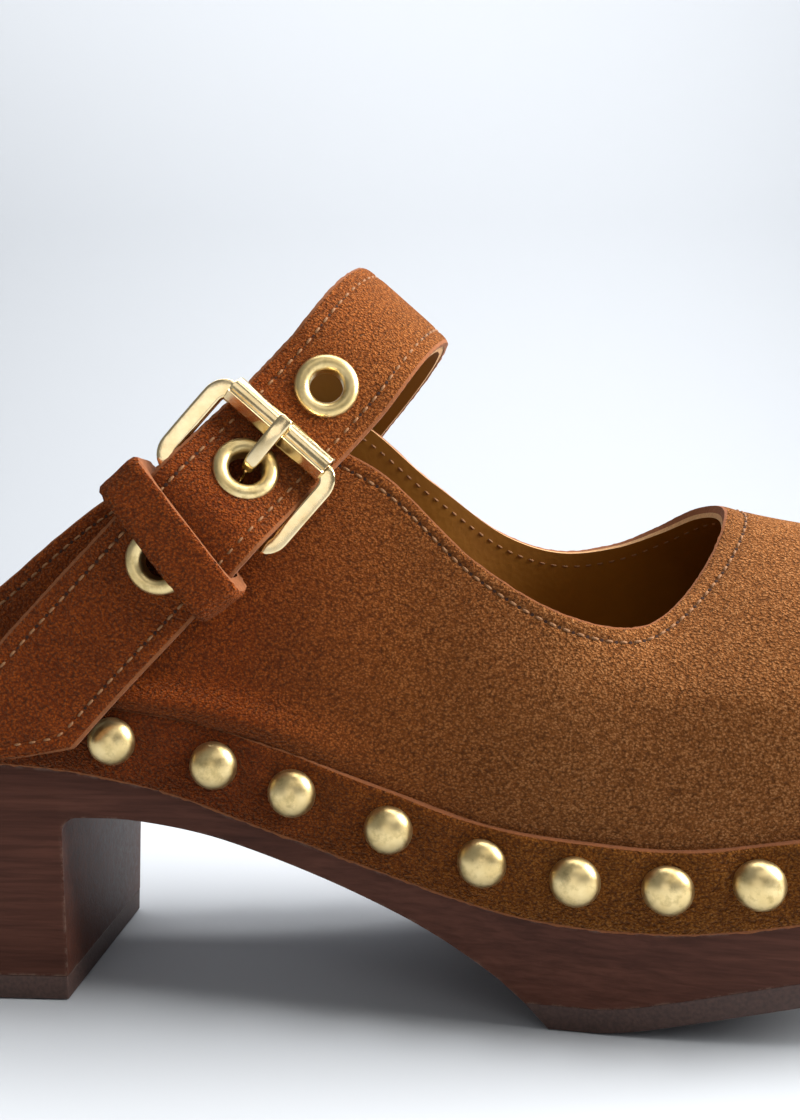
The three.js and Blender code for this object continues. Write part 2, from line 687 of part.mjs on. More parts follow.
// A closed band of leather round the tab and the strap's tail
function keeperLoop() {
  const outerZ = STRAP_WIDTH / 2 + KEEPER_SIDE_ROOM + KEEPER_THICK;
  const box = (grow) => {
    const width = KEEPER_INNER_X - KEEPER_OUTER_X - 2 * grow;
    const height = KEEPER_HEIGHT + (grow ? 2 : 0);
    const geometry = new THREE.BoxGeometry(width, height, 2 * (outerZ - grow)).rotateX(KEEPER_SKEW);
    return geometry.translate((KEEPER_INNER_X + KEEPER_OUTER_X) / 2, KEEPER_Y, drift(-1, KEEPER_Y));
  };
  return solidOf(box(0)).subtract(solidOf(box(KEEPER_THICK)));
}

// ----------------------------------------------------------------- assembly

function placeStrapFrame() {
  const up = new THREE.Vector3(Math.cos(STRAP_TILT), 0, Math.sin(STRAP_TILT));
  const toToe = new THREE.Vector3(Math.sin(STRAP_TILT), 0, -Math.cos(STRAP_TILT));
  strapFrame.quaternion.setFromRotationMatrix(
    new THREE.Matrix4().makeBasis(new THREE.Vector3(0, 1, 0), up, toToe),
  );
  strapFrame.position.copy(STRAP_TOP);
}

const shares = studShares();
let bores = boreFor(shares[0]);
for (const share of shares.slice(1)) bores = bores.add(boreFor(share));

addPiece(clog, 'wooden_sole', woodenSole(bores), WOOD);
addPiece(clog, 'heel_top_piece', heelTopPiece(), RUBBER);
addPiece(clog, 'forefoot_outsole', forefootOutsole(), RUBBER);
addPiece(clog, 'sock_lining', sockLining(), TAN);
addPiece(clog, 'upper_lining', upperLining(bores), TAN);
addPiece(clog, 'toe_puff', toePuff(), FELT);
addPiece(clog, 'upper_suede', upperSuede(bores), COGNAC);
addPiece(clog, 'rand_strip', randStrip(bores), COGNAC);
shares.forEach((share, i) => {
  addPiece(clog, `stud_${String(i + 1).padStart(2, '0')}`, stud(share), BRASS);
});

addPiece(strapFrame, 'strap_lining', strapLayer(-STRAP_HALF, -STRAP_HALF + STRAP_LINING), TAN);
addPiece(strapFrame, 'strap_suede', strapLayer(STRAP_HALF - STRAP_SUEDE, STRAP_HALF), COGNAC);
EYELET_LEVELS.forEach((level, i) => {
  addPiece(strapFrame, `eyelet_${i + 1}`, eyelet(level), BRASS);
  addPiece(strapFrame, `eyelet_washer_${i + 1}`, eyeletWasher(level), BRASS);
});
addPiece(strapFrame, 'buckle_frame', buckleFrame(), BRASS);
addPiece(strapFrame, 'buckle_roller', buckleRoller(), BRASS);
addPiece(strapFrame, 'buckle_prong', buckleProng(), BRASS);
addPiece(strapFrame, 'buckle_tab', buckleTab(), COGNAC);
addPiece(strapFrame, 'keeper_loop', keeperLoop(), COGNAC);
placeStrapFrame();

// The middle of the object's box, at floor level, becomes the origin
clog.updateMatrixWorld(true);
const bounds = new THREE.Box3().setFromObject(clog, true);
const middle = bounds.getCenter(new THREE.Vector3());
clog.position.set(-middle.x, -middle.y, -bounds.min.z);

export default clog;
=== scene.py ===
"""A wooden clog with a studded suede upper and a buckled instep strap.

The shapes are worked out in the clog's own design frame, in millimetres: +X to
the toe, +Y to the medial side, +Z up, X = 0 at the heel's front face.  The same
curves drive the CAD solids, so every piece lies where its solid does.
"""

import json
import math

import bpy
import numpy as np
from mathutils import Matrix, Vector, noise


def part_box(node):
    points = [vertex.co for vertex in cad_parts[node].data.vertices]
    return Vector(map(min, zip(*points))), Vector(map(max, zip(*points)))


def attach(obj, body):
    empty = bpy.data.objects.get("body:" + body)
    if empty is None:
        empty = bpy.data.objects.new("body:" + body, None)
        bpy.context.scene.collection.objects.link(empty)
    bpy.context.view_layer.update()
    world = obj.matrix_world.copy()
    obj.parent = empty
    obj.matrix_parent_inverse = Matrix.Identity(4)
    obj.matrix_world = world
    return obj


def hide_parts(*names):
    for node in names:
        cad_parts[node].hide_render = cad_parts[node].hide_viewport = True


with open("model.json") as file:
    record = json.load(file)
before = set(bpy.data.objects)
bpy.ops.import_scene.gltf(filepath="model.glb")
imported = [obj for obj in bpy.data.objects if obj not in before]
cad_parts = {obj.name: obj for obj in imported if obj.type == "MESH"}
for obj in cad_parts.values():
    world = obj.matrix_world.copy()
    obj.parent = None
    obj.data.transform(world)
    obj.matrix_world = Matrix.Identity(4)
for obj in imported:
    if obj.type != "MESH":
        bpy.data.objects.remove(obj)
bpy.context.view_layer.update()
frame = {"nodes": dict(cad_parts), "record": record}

# ---- dimensions

GAP = 0.3
TREAD = 4.4
WALL_DRAFT = 0.083
HEEL_BACK_DRAFT = 0.143
FOREFOOT_DRAFT = 0.19
TREAD_START = 85.5
SOLE_TOP_BELOW_RAND = 1.5
LINING = 1.0
TOE_PUFF = 0.7
SUEDE = 1.4
RAND = 1.5
RABBET = GAP + LINING + GAP + SUEDE
RAND_INNER = LINING + SUEDE + 2 * GAP
RAND_OUTER = RAND_INNER + RAND
SOCK_LINING = 1.6
STUD_RADIUS = 4.45
STUD_HEIGHT = 3.0
DOME_RADIUS = 4.2
STUD_LEVEL = -0.44
STUD_PITCH = 15.9
RAND_HEIGHT = 13.2
LATERAL_STUD_X = (-22, -5.8, 10.2, 28.1, 42, 58.9, 74.9, 89.9, 104.4, 118.4)

STRAP_HALF_WIDTH = 10.6
STRAP_TILT = math.radians(48.65)
STRAP_TOP = (59.2, 0.0, 126.9)
DRIFT_TOP = 0.4
DRIFT_BUCKLE = 2.4
DRIFT_TIP = 1.1
STRAP_SUEDE = 1.4
STRAP_HALF = 1.4
ARCH_RADIUS = 24.0
TIP_LENGTH = 11.0
EYELET_LEVELS = (-21.2, -41.0, -60.6)
EYELET_BARREL = 3.7
BUCKLE_X = -30.6
REAR_BAR_Y = -48.5
FRONT_BAR_Y = -31.5
FRONT_BAR_RADIUS = 1.3
REAR_BAR_RADIUS = 1.15
FRAME_MIDDLE_Y = -41
ARM_Z = 12.05
HEEL_ARM_BOW = 0.7
ROLLER_RADIUS = 2.5
ROLLER_LENGTH = 20.2
KEEPER_Y = -57.2
KEEPER_SKEW = math.radians(11)
KEEPER_HEIGHT = 8.4
KEEPER_INNER_X = -27.8
KEEPER_OUTER_X = -38.9
TAB_END_Y = -84.0
TAB_WIDTH = 17.0

OUTLINE = (
    (-38, -23), (-20, -26.4), (5, -27), (35, -27.7), (62, -30.5), (90, -35.6),
    (115, -39.2), (140, -41), (160, -37), (178, -27), (190, -12), (194, 4),
    (187, 21), (172, 34), (152, 41.5), (132, 43), (108, 39.5), (85, 32.5),
    (60, 27.3), (30, 26.4), (0, 27), (-22, 26.2), (-38, 23), (-51, 13),
    (-56, 0), (-51, -13),
)
RAND_END = 22
ARCH = ((0, 34), (13.3, 33.7), (30.8, 30.1), (60.1, 18.8), (76.9, 8.6), (85.5, 0))
ROCKER = ((85.5, 0), (93, 0), (99, 0.8), (111, 3.7), (126, 7.3), (150, 13.2), (175, 20), (200, 28))
RAND_LOWER = (
    (-60, 44), (-38, 44), (-4, 43), (17, 39.4), (33.4, 33.9), (60.2, 25.2), (77.5, 20.7),
    (94, 19), (110, 19.6), (125, 22.1), (150, 27), (175, 32), (200, 38),
)
RAND_UPPER = (
    (-60, 55.6), (-38, 55.6), (-10, 55.3), (11, 53.8), (28.7, 50.6), (60, 40.2), (75.3, 35.6),
    (92, 33.8), (107, 33.4), (125, 36.1), (150, 40.6), (175, 46), (200, 52),
)
TOPLINE = (
    (-38, -21.5, 58.5), (-16, -23.6, 70), (9, -22.6, 90), (33, -20.4, 102.5), (55, -21, 95.5),
    (74, -25.5, 78.5), (89, -27.5, 69.8), (100.5, -25.5, 67.4), (109.5, -19.5, 71.2),
    (117, -10.5, 78.6), (120.7, 0, 86), (118.5, 10, 86.5), (112.5, 17, 83.4), (104, 22, 80.2),
    (92.5, 24.5, 79), (81, 24, 82.5), (65, 20, 94), (44, 17.5, 109), (16, 21, 102),
    (-14, 23.6, 76), (-38, 21.5, 58.5),
)

SHOE = "shoe"


def joint_named(name):
    return next(j for j in frame["record"]["behaviour"]["joints"] if j["name"] == name)


# The design frame's origin in the row's frame, in metres
ORIGIN = np.array([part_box("heel_top_piece")[1][0],
                   joint_named("buckle_swing")["pos_m"][1] - BUCKLE_X * 0.001, 0.0])

# ---- curves


def blend_step(low, high, value):
    t = np.clip((np.asarray(value, float) - low) / (high - low), 0, 1)
    return t * t * (3 - 2 * t)


def mix(a, b, t):
    return a + (b - a) * t


def height_curve(points):
    """Smooth height over x through given points."""
    xs, zs = np.array(points, float).T
    slopes = np.array([(zs[min(i + 1, len(xs) - 1)] - zs[max(i - 1, 0)])
                       / (xs[min(i + 1, len(xs) - 1)] - xs[max(i - 1, 0)]) for i in range(len(xs))])

    def height(x):
        x = np.asarray(x, float)
        i = np.clip(np.searchsorted(xs, x) - 1, 0, len(xs) - 2)
        step = xs[i + 1] - xs[i]
        t = (x - xs[i]) / step
        return ((2 * t**3 - 3 * t**2 + 1) * zs[i] + (t**3 - 2 * t**2 + t) * slopes[i] * step
                + (3 * t**2 - 2 * t**3) * zs[i + 1] + (t**3 - t**2) * slopes[i + 1] * step)
    return height


CURVE_STEPS = 40

arch_height = height_curve(ARCH)
rand_lower = height_curve(RAND_LOWER)
rand_upper = height_curve(RAND_UPPER)


def rocker_height(x):
    return np.maximum(0, height_curve(ROCKER)(np.maximum(x, TREAD_START)))


class Curve:
    """A centripetal Catmull-Rom curve that is read by index or by share of its length."""

    def __init__(self, points, closed=False):
        p = np.array([tuple(q) + (0,) * (3 - len(q)) for q in points], float)
        if closed:
            p = np.vstack([p[-1], p, p[0], p[1]])
        else:
            p = np.vstack([2 * p[0] - p[1], p, 2 * p[-1] - p[-2]])
        t = np.linspace(0, 1, CURVE_STEPS, endpoint=False)[:, None]
        spans = [self.span(*p[i:i + 4], t) for i in range(len(p) - 3)]
        self.points = np.vstack(spans + [p[-2][None]])
        self.index = np.linspace(0, len(p) - 3, len(self.points))
        steps = np.linalg.norm(np.diff(self.points, axis=0), axis=1)
        self.lengths = np.concatenate([[0], np.cumsum(steps)])
        self.length = self.lengths[-1]
        self.tangents = np.gradient(self.points, self.lengths, axis=0)
        self.tangents /= np.linalg.norm(self.tangents, axis=1, keepdims=True)

    @staticmethod
    def span(a, b, c, d, t):
        ab, bc, cd = (math.sqrt(np.linalg.norm(q - p)) for p, q in ((a, b), (b, c), (c, d)))
        m1 = ((b - a) / ab - (c - a) / (ab + bc) + (c - b) / bc) * bc
        m2 = ((c - b) / bc - (d - b) / (bc + cd) + (d - c) / cd) * bc
        return ((2 * t**3 - 3 * t**2 + 1) * b + (t**3 - 2 * t**2 + t) * m1
                + (3 * t**2 - 2 * t**3) * c + (t**3 - t**2) * m2)

    def read(self, values, at, table):
        at = np.asarray(at, float)
        return np.stack([np.interp(at, table, values[:, k]) for k in range(3)], axis=-1)

    def at(self, share):
        return self.read(self.points, np.asarray(share) * self.length, self.lengths)

    def along(self, share):
        return self.read(self.tangents, np.asarray(share) * self.length, self.lengths)

    def at_index(self, index):
        return self.read(self.points, index, self.index)


outline = Curve(OUTLINE, closed=True)
topline = Curve(TOPLINE)
RAND_LENGTH = outline.lengths[RAND_END * CURVE_STEPS]
RAND_SHARE = RAND_LENGTH / outline.length


def outline_point(share, inset):
    share = np.asarray(share) % 1
    along = outline.along(share)
    inward = np.stack([-along[..., 1], along[..., 0], 0 * along[..., 0]], axis=-1)
    return outline.at(share) + inward * np.asarray(inset)[..., None]


def upper_face(u, v):
    """Inner face of the upper: u round the sole, v -1 to 0 on the rand and 0 to 1 up to the topline."""
    u, v = np.broadcast_arrays(np.clip(np.asarray(u, float), 0, 1), np.asarray(v, float))
    share = u * RAND_SHARE
    x = outline.at(share)[..., 0]
    wall = outline_point(share, RABBET - GAP)
    wall[..., 2] = mix(rand_upper(x), rand_lower(x) + GAP, np.clip(-v, 0, 1))
    along = outline.along(share)
    outward = np.stack([along[..., 1], -along[..., 0], 0 * u], axis=-1)
    top = topline.at_index(u * (len(TOPLINE) - 1))
    reach = np.linalg.norm(top - wall, axis=-1)[..., None]
    toe = 1 - blend_step(0.02, 0.22, np.abs(u - 0.5))[..., None]
    fall = np.radians(mix(80, 14, toe))
    up = np.array([0.0, 0, 1])
    low = wall + (up + outward * (0.06 + 0.08 * toe)) * reach * 0.36
    high = top + (outward * np.cos(fall) - up * np.sin(fall)) * reach * mix(0.34, 0.5, toe)
    t = np.clip(v, 0, 1)[..., None]
    return ((1 - t)**3 * wall + 3 * t * (1 - t)**2 * low + 3 * t**2 * (1 - t) * high + t**3 * top)


def upper_normal(u, v, step=0.004):
    across = upper_face(np.minimum(u + step, 1), v) - upper_face(np.maximum(u - step, 0), v)
    up = upper_face(u, np.minimum(v + step, 1)) - upper_face(u, np.maximum(v - step, -1))
    normal = np.cross(across, up)
    return normal / np.linalg.norm(normal, axis=-1, keepdims=True)


def upper_layer(u, v, offset):
    return upper_face(u, v) + upper_normal(u, v) * np.asarray(offset)[..., None]


# ---- strap's own frame

UP = np.array([math.cos(STRAP_TILT), 0, math.sin(STRAP_TILT)])
TO_TOE = np.array([math.sin(STRAP_TILT), 0, -math.cos(STRAP_TILT)])


def from_strap(points):
    """Strap frame (x across, y up the strap, z along its width) to the design frame."""
    p = np.asarray(points, float)
    across = np.array([0.0, 1, 0])
    return np.array(STRAP_TOP) + p[..., :1] * across + p[..., 1:2] * UP + p[..., 2:3] * TO_TOE


def arch_points():
    turns = np.radians(np.linspace(15, 130, 6))
    return [(ARCH_RADIUS * math.cos(a), ARCH_RADIUS * (math.sin(a) - 1)) for a in turns]


strap_path = Curve([
    (29.9, -82), (29.6, -60), (28, -40), (25, -26), *arch_points(),
    (-21, -12.5), (-24, -24), (-26.1, -31.5), (-30.9, -40.6), (-35.2, -48.4), (-35.5, -56),
    (-34.9, -66), (-34.2, -85), (-34.8, -105.5),
])


def path_normal(path, share):
    along = path.along(share)
    return np.stack([along[..., 1], -along[..., 0], 0 * along[..., 0]], axis=-1)


def drift(x, y):
    down = np.where(np.asarray(x) < 0, blend_step(0, 20, -np.asarray(y, float)), 0)
    end = blend_step(50, 90, -np.asarray(y, float))
    return mix(DRIFT_TOP, mix(DRIFT_BUCKLE, DRIFT_TIP, end), down)


def strap_share(level):
    half = strap_path.lengths / strap_path.length > 0.4
    ys = strap_path.points[half, 1]
    return np.interp(-level, -ys, strap_path.lengths[half] / strap_path.length)


def eyelet_place(level):
    share = strap_share(level)
    place = strap_path.at(share)
    place[2] = drift(-1, level)
    return place, path_normal(strap_path, share)


# ---- meshes


def to_row(points):
    return np.asarray(points, float) * 0.001 + ORIGIN


def make_object(name, points, faces, materials, slots=None, sharp=40):
    """A mesh object from design-frame points; slots gives each face's material."""
    mesh = bpy.data.meshes.new(name)
    mesh.from_pydata(to_row(points).reshape(-1, 3).tolist(), [], faces)
    for material in materials:
        mesh.materials.append(material)
    if slots is not None:
        mesh.polygons.foreach_set("material_index", slots)
    mesh.polygons.foreach_set("use_smooth", [True] * len(mesh.polygons))
    mesh.validate()
    mesh.update()
    mesh.set_sharp_from_angle(angle=math.radians(sharp))
    piece = bpy.data.objects.new(name, mesh)
    bpy.context.scene.collection.objects.link(piece)
    return piece


def bake_modifiers(piece, sharp=40):
    """Replaces the mesh by what its modifiers make of it."""
    bpy.context.view_layer.update()
    shaped = piece.evaluated_get(bpy.context.evaluated_depsgraph_get())
    mesh = bpy.data.meshes.new_from_object(shaped)
    piece.modifiers.clear()
    piece.data = mesh
    mesh.polygons.foreach_set("use_smooth", [True] * len(mesh.polygons))
    mesh.set_sharp_from_angle(angle=math.radians(sharp))
    return piece


def bevel(piece, width, segments=3, angle=40):
    change = piece.modifiers.new("edges", "BEVEL")
    change.width = width * 0.001
    change.segments = segments
    change.limit_method = "ANGLE"
    change.angle_limit = math.radians(angle)
    return piece


def boolean(piece, cutter, operation):
    change = piece.modifiers.new("cut", "BOOLEAN")
    change.operation = operation
    change.object = cutter
    change.solver = "EXACT"
    bake_modifiers(piece)
    bpy.data.objects.remove(cutter)
    return piece


def grid_faces(columns, rows, start=0, wrap=False, flip=False):
    """Quads over a grid of points, columns by rows."""
    faces = []
    for c in range(columns if wrap else columns - 1):
        for r in range(rows - 1):
            a = start + c * rows + r
            b = start + ((c + 1) % columns) * rows + r
            faces.append((a, a + 1, b + 1, b) if flip else (a, b, b + 1, a + 1))
    return faces


def shell_object(name, inner, outer, face_material, edge_material, raw=(0, 0), sharp=50):
    """A skin with thickness: two grids of the same size and a rim of cut edge between them.

    raw gives how many bands of the outer face show the cut edge's fuzz, at either end of a row.
    """
    columns, rows = inner.shape[:2]
    count = columns * rows
    points = np.concatenate([outer.reshape(-1, 3), inner.reshape(-1, 3)])
    faces = grid_faces(columns, rows) + grid_faces(columns, rows, count, flip=True)
    skin = len(faces)
    border = [c * rows for c in range(columns)]
    border += [(columns - 1) * rows + r for r in range(1, rows)]
    border += [c * rows + rows - 1 for c in range(columns - 2, -1, -1)]
    border += list(range(rows - 2, 0, -1))
    for i, a in enumerate(border):
        b = border[(i + 1) % len(border)]
        faces.append((b, a, a + count, b + count))
    slots = [0] * skin + [1] * (len(faces) - skin)
    for c in range(columns - 1):
        for r in (*range(raw[0]), *range(rows - 1 - raw[1], rows - 1)):
            slots[c * (rows - 1) + r] = 1
    return make_object(name, points, faces, [face_material, edge_material], slots, sharp)


def ring_faces(count, around, start=0, caps=True):
    """Quads between rings of points, each ring closed on itself, and a cap at either end."""
    faces = []
    for r in range(count - 1):
        a, b = start + r * around, start + (r + 1) * around
        for i in range(around):
            j = (i + 1) % around
            faces.append((a + i, a + j, b + j, b + i))
    if caps:
        faces.append(tuple(start + i for i in range(around))[::-1])
        faces.append(tuple(start + (count - 1) * around + i for i in range(around)))
    return faces


def loft_object(name, rings, material, caps=True, sharp=40):
    """A closed solid through rings of points."""
    rings = np.asarray(rings, float)
    faces = ring_faces(*rings.shape[:2], caps=caps)
    return make_object(name, rings.reshape(-1, 3), faces, [material], sharp=sharp)


def turned_points(profile, segments, place, axis):
    """Rings of a turned piece: profile of (radius, height) round an axis through place."""
    axis = np.asarray(axis, float) / np.linalg.norm(axis)
    side = np.cross(axis, [0, 0, 1.0] if abs(axis[2]) < 0.9 else [0, 1.0, 0])
    side /= np.linalg.norm(side)
    other = np.cross(axis, side)
    turns = np.linspace(0, 2 * math.pi, segments, endpoint=False)
    spokes = np.cos(turns)[:, None] * side + np.sin(turns)[:, None] * other
    return np.array([np.asarray(place) + spokes * r + axis * h for r, h in profile])


def wobble(points, size, amount, seed=0.0):
    """A smooth random number for each point, with detail of the given size in millimetres."""
    shift = Vector((seed * 17.3, seed * 5.1, -seed * 9.7))
    flat = np.asarray(points).reshape(-1, 3)
    values = [noise.noise(Vector(p) / size + shift) for p in flat]
    return np.array(values).reshape(np.asarray(points).shape[:-1]) * amount


def finish_piece(piece, body, slot, *nodes):
    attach(piece, body)
    if nodes:
        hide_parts(*nodes)
    return piece


# ---- materials


class Nodes:
    """Short calls for building one material's node tree."""

    def __init__(self, name):
        self.material = bpy.data.materials.new(name)
        self.material.use_nodes = True
        self.tree = self.material.node_tree
        self.shader = self.tree.nodes["Principled BSDF"]
        self.place = self.add("ShaderNodeTexCoord").outputs["Object"]

    def add(self, kind, **settings):
        node = self.tree.nodes.new(kind)
        for key, value in settings.items():
            setattr(node, key, value)
        return node

    def link(self, source, target):
        self.tree.links.new(source, target)

    def set(self, **values):
        for key, value in values.items():
            self.shader.inputs[key.replace("_", " ")].default_value = value

    def mapped(self, scale=(1, 1, 1), turn=(0, 0, 0)):
        node = self.add("ShaderNodeMapping")
        node.inputs["Scale"].default_value = scale
        node.inputs["Rotation"].default_value = turn
        self.link(self.place, node.inputs["Vector"])
        return node.outputs["Vector"]

    def noise(self, scale, detail=3, rough=0.5, at=None, distortion=0.0):
        node = self.add("ShaderNodeTexNoise")
        node.inputs["Scale"].default_value = scale
        node.inputs["Detail"].default_value = detail
        node.inputs["Roughness"].default_value = rough
        node.inputs["Distortion"].default_value = distortion
        self.link(at or self.place, node.inputs["Vector"])
        return node.outputs["Fac"]

    def grains(self, scale, at=None, smooth=0.0):
        """Distance from the middle of the nearest grain of a packed, pebbled texture."""
        node = self.add("ShaderNodeTexVoronoi", feature="SMOOTH_F1" if smooth else "F1")
        node.inputs["Scale"].default_value = scale
        if smooth:
            node.inputs["Smoothness"].default_value = smooth
        self.link(at or self.place, node.inputs["Vector"])
        return node.outputs["Distance"]

    def ramp(self, source, *stops):
        node = self.add("ShaderNodeValToRGB")
        ramp = node.color_ramp
        while len(ramp.elements) < len(stops):
            ramp.elements.new(0.5)
        for element, (place, colour) in zip(ramp.elements, stops):
            element.position = place
            element.color = (*colour, 1)
        self.link(source, node.inputs["Fac"])
        return node.outputs["Color"]

    def mix(self, factor, a, b, blend="MIX"):
        node = self.add("ShaderNodeMix", data_type="RGBA", blend_type=blend)
        for socket, value in (("Factor", factor), ("A", a), ("B", b)):
            target = next(i for i in node.inputs if i.name == socket and i.enabled)
            if isinstance(value, bpy.types.NodeSocket):
                self.link(value, target)
            else:
                target.default_value = value if socket == "Factor" else (*value, 1)
        return next(o for o in node.outputs if o.enabled)

    def maths(self, operation, a, b=0.0):
        node = self.add("ShaderNodeMath", operation=operation)
        for target, value in zip(node.inputs, (a, b)):
            if isinstance(value, bpy.types.NodeSocket):
                self.link(value, target)
            else:
                target.default_value = value
        return node.outputs[0]

    def bump(self, height, distance, strength=1.0, after=None):
        node = self.add("ShaderNodeBump")
        node.inputs["Distance"].default_value = distance
        node.inputs["Strength"].default_value = strength
        self.link(height, node.inputs["Height"])
        if after:
            self.link(after, node.inputs["Normal"])
        return node.outputs["Normal"]

    def colour(self, source):
        self.link(source, self.shader.inputs["Base Color"])

    def normal(self, source):
        self.link(source, self.shader.inputs["Normal"])


def suede_material(name, dark, middle, light):
    """A short brushed nap: lit fibre tips over darker roots, with painted shade towards the heel and
    painted light towards the toe.
    """
    n = Nodes(name)
    nap = n.mapped(scale=(1, 1, 1.25), turn=(0, math.radians(24), 0))
    fine = n.noise(3600, detail=2, rough=0.6, at=nap)
    grain = n.grains(1900, nap, 0.35)
    tufts = n.noise(1500, detail=3, rough=0.6, at=nap)
    tips = n.maths("SUBTRACT", n.maths("ADD", fine, tufts), n.maths("MULTIPLY", grain, 0.8))
    patches = n.noise(34, detail=3, rough=0.5, distortion=0.6)
    body = n.ramp(tips, (0.25, dark), (0.62, middle), (0.98, light))
    brushed = n.ramp(patches, (0.35, (0.88, 0.86, 0.84)), (0.65, (1.06, 1.07, 1.08)))
    brushed = n.mix(0.8, body, brushed, "MULTIPLY")
    # Painted light and shade along X: the colour is darker and redder towards the heel as painted shade,
    # and paler towards the toe as painted light from the toe-side lamp.
    split = n.add("ShaderNodeSeparateXYZ")
    n.link(n.place, split.inputs["Vector"])
    painted_light_along_x = n.maths("MULTIPLY_ADD", split.outputs["X"], 7.0)
    painted_light_along_x.node.inputs[2].default_value = 0.5
    shade = n.ramp(painted_light_along_x, (0.22, (0.78, 0.44, 0.13)), (0.42, (1.00, 0.94, 0.80)),
                   (0.62, (1.03, 1.22, 1.50)))
    n.colour(n.mix(1.0, brushed, shade, "MULTIPLY"))
    n.normal(n.bump(tips, 0.0010, 1.0))
    n.set(Roughness=0.95, Sheen_Weight=0.12, Sheen_Roughness=0.5, Sheen_Tint=(1.0, 0.70, 0.40, 1))
    n.set(Specular_IOR_Level=0.04)
    return n.material


def leather_material(name, dark, light, roughness=0.6):
    """Smooth lining leather with a fine grain, darker where it is handled."""
    n = Nodes(name)
    grain = n.grains(900)
    creases = n.noise(140, detail=5, rough=0.6, distortion=0.6)
    patches = n.noise(26, detail=3)
    base = n.ramp(patches, (0.3, dark), (0.7, light))
    n.colour(n.mix(0.35, base, n.ramp(creases, (0.3, dark), (0.7, light))))
    n.normal(n.bump(grain, 0.0001, 0.35, after=n.bump(creases, 0.0004, 0.35)))
    n.link(n.ramp(creases, (0.3, (roughness,) * 3), (0.7, (roughness + 0.15,) * 3)),
           n.shader.inputs["Roughness"])
    n.set(Specular_IOR_Level=0.3)
    return n.material


def wood_material():
    """Dark stained alder: fine lengthwise grain, pores, and pale wear on its sharp edges."""
    n = Nodes("stained_wood")
    lengthwise = n.mapped(scale=(0.05, 1, 1))
    grain = n.noise(900, detail=4, rough=0.65, at=lengthwise, distortion=0.4)
    bands = n.noise(110, detail=3, rough=0.5, at=n.mapped(scale=(0.12, 1, 1)), distortion=1.2)
    pores = n.noise(2600, detail=1, rough=0.4, at=n.mapped(scale=(0.1, 1, 1)))
    stain = n.ramp(bands, (0.3, (0.062, 0.0230, 0.0150)), (0.7, (0.090, 0.0340, 0.0220)))
    streaks = n.ramp(grain, (0.35, (0.62, 0.6, 0.58)), (0.62, (1.15, 1.15, 1.15)))
    body = n.mix(0.75, stain, streaks, "MULTIPLY")
    soft = n.add("ShaderNodeBevel", samples=6)
    soft.inputs["Radius"].default_value = 0.0011
    bare = n.add("ShaderNodeNewGeometry").outputs["Normal"]
    turn = n.add("ShaderNodeVectorMath", operation="DOT_PRODUCT")
    n.link(soft.outputs["Normal"], turn.inputs[0])
    n.link(bare, turn.inputs[1])
    edge = n.maths("SUBTRACT", 1.0, turn.outputs["Value"])
    scuffs = n.noise(420, detail=4, rough=0.7)
    wear = n.maths("MULTIPLY", n.maths("MULTIPLY", edge, 9.0), n.maths("SUBTRACT", scuffs, 0.47))
    mask = n.add("ShaderNodeClamp")
    n.link(n.maths("MULTIPLY", wear, 4.0), mask.inputs["Value"])
    n.colour(n.mix(n.maths("MULTIPLY", mask.outputs[0], 0.4), body, (0.30, 0.22, 0.17)))
    n.link(n.ramp(grain, (0.3, (0.36,) * 3), (0.7, (0.5,) * 3)), n.shader.inputs["Roughness"])
    n.normal(n.bump(grain, 0.00012, 0.35, after=n.bump(pores, 0.00008, 0.3)))
    n.set(Specular_IOR_Level=0.08)
    return n.material


def rubber_material():
    n = Nodes("tread_rubber")
    speckle = n.noise(1500, detail=2)
    n.colour(n.ramp(speckle, (0.35, (0.040, 0.0185, 0.0130)), (0.7, (0.066, 0.030, 0.022))))
    n.normal(n.bump(speckle, 0.00012, 0.5))
    n.set(Roughness=0.68)
    return n.material


def brass_material(name, roughness, grain, patina, deep, pale):
    """Pale brass plating with a faint brushed haze, handling marks and olive patina."""
    n = Nodes(name)
    haze = n.noise(700, detail=4, rough=0.6)
    tone = n.noise(240, detail=4, rough=0.6)
    worn = n.ramp(n.noise(520, detail=5, rough=0.65), (0.50, (0, 0, 0)), (0.66, (1, 1, 1)))
    clean = n.ramp(tone, (0.3, deep), (0.7, pale))
    n.colour(n.mix(n.maths("MULTIPLY", worn, patina), clean, (0.40, 0.29, 0.11)))
    n.link(n.ramp(haze, (0.3, (roughness,) * 3), (0.75, (roughness + grain,) * 3)),
           n.shader.inputs["Roughness"])
    n.normal(n.bump(haze, 0.00006, 0.25))
    n.set(Metallic=1.0)
    return n.material


def plain_material(name, colour, roughness, bump_scale):
    n = Nodes(name)
    fuzz = n.noise(bump_scale, detail=3, rough=0.6)
    shade = tuple(c * 0.62 for c in colour)
    n.colour(n.ramp(fuzz, (0.3, shade), (0.7, colour)))
    n.normal(n.bump(fuzz, 0.0002, 0.6))
    n.set(Roughness=roughness)
    return n.material


suede = suede_material("cognac_suede", (0.110, 0.0255, 0.0035), (0.230, 0.062, 0.0105),
                       (0.45, 0.160, 0.045))
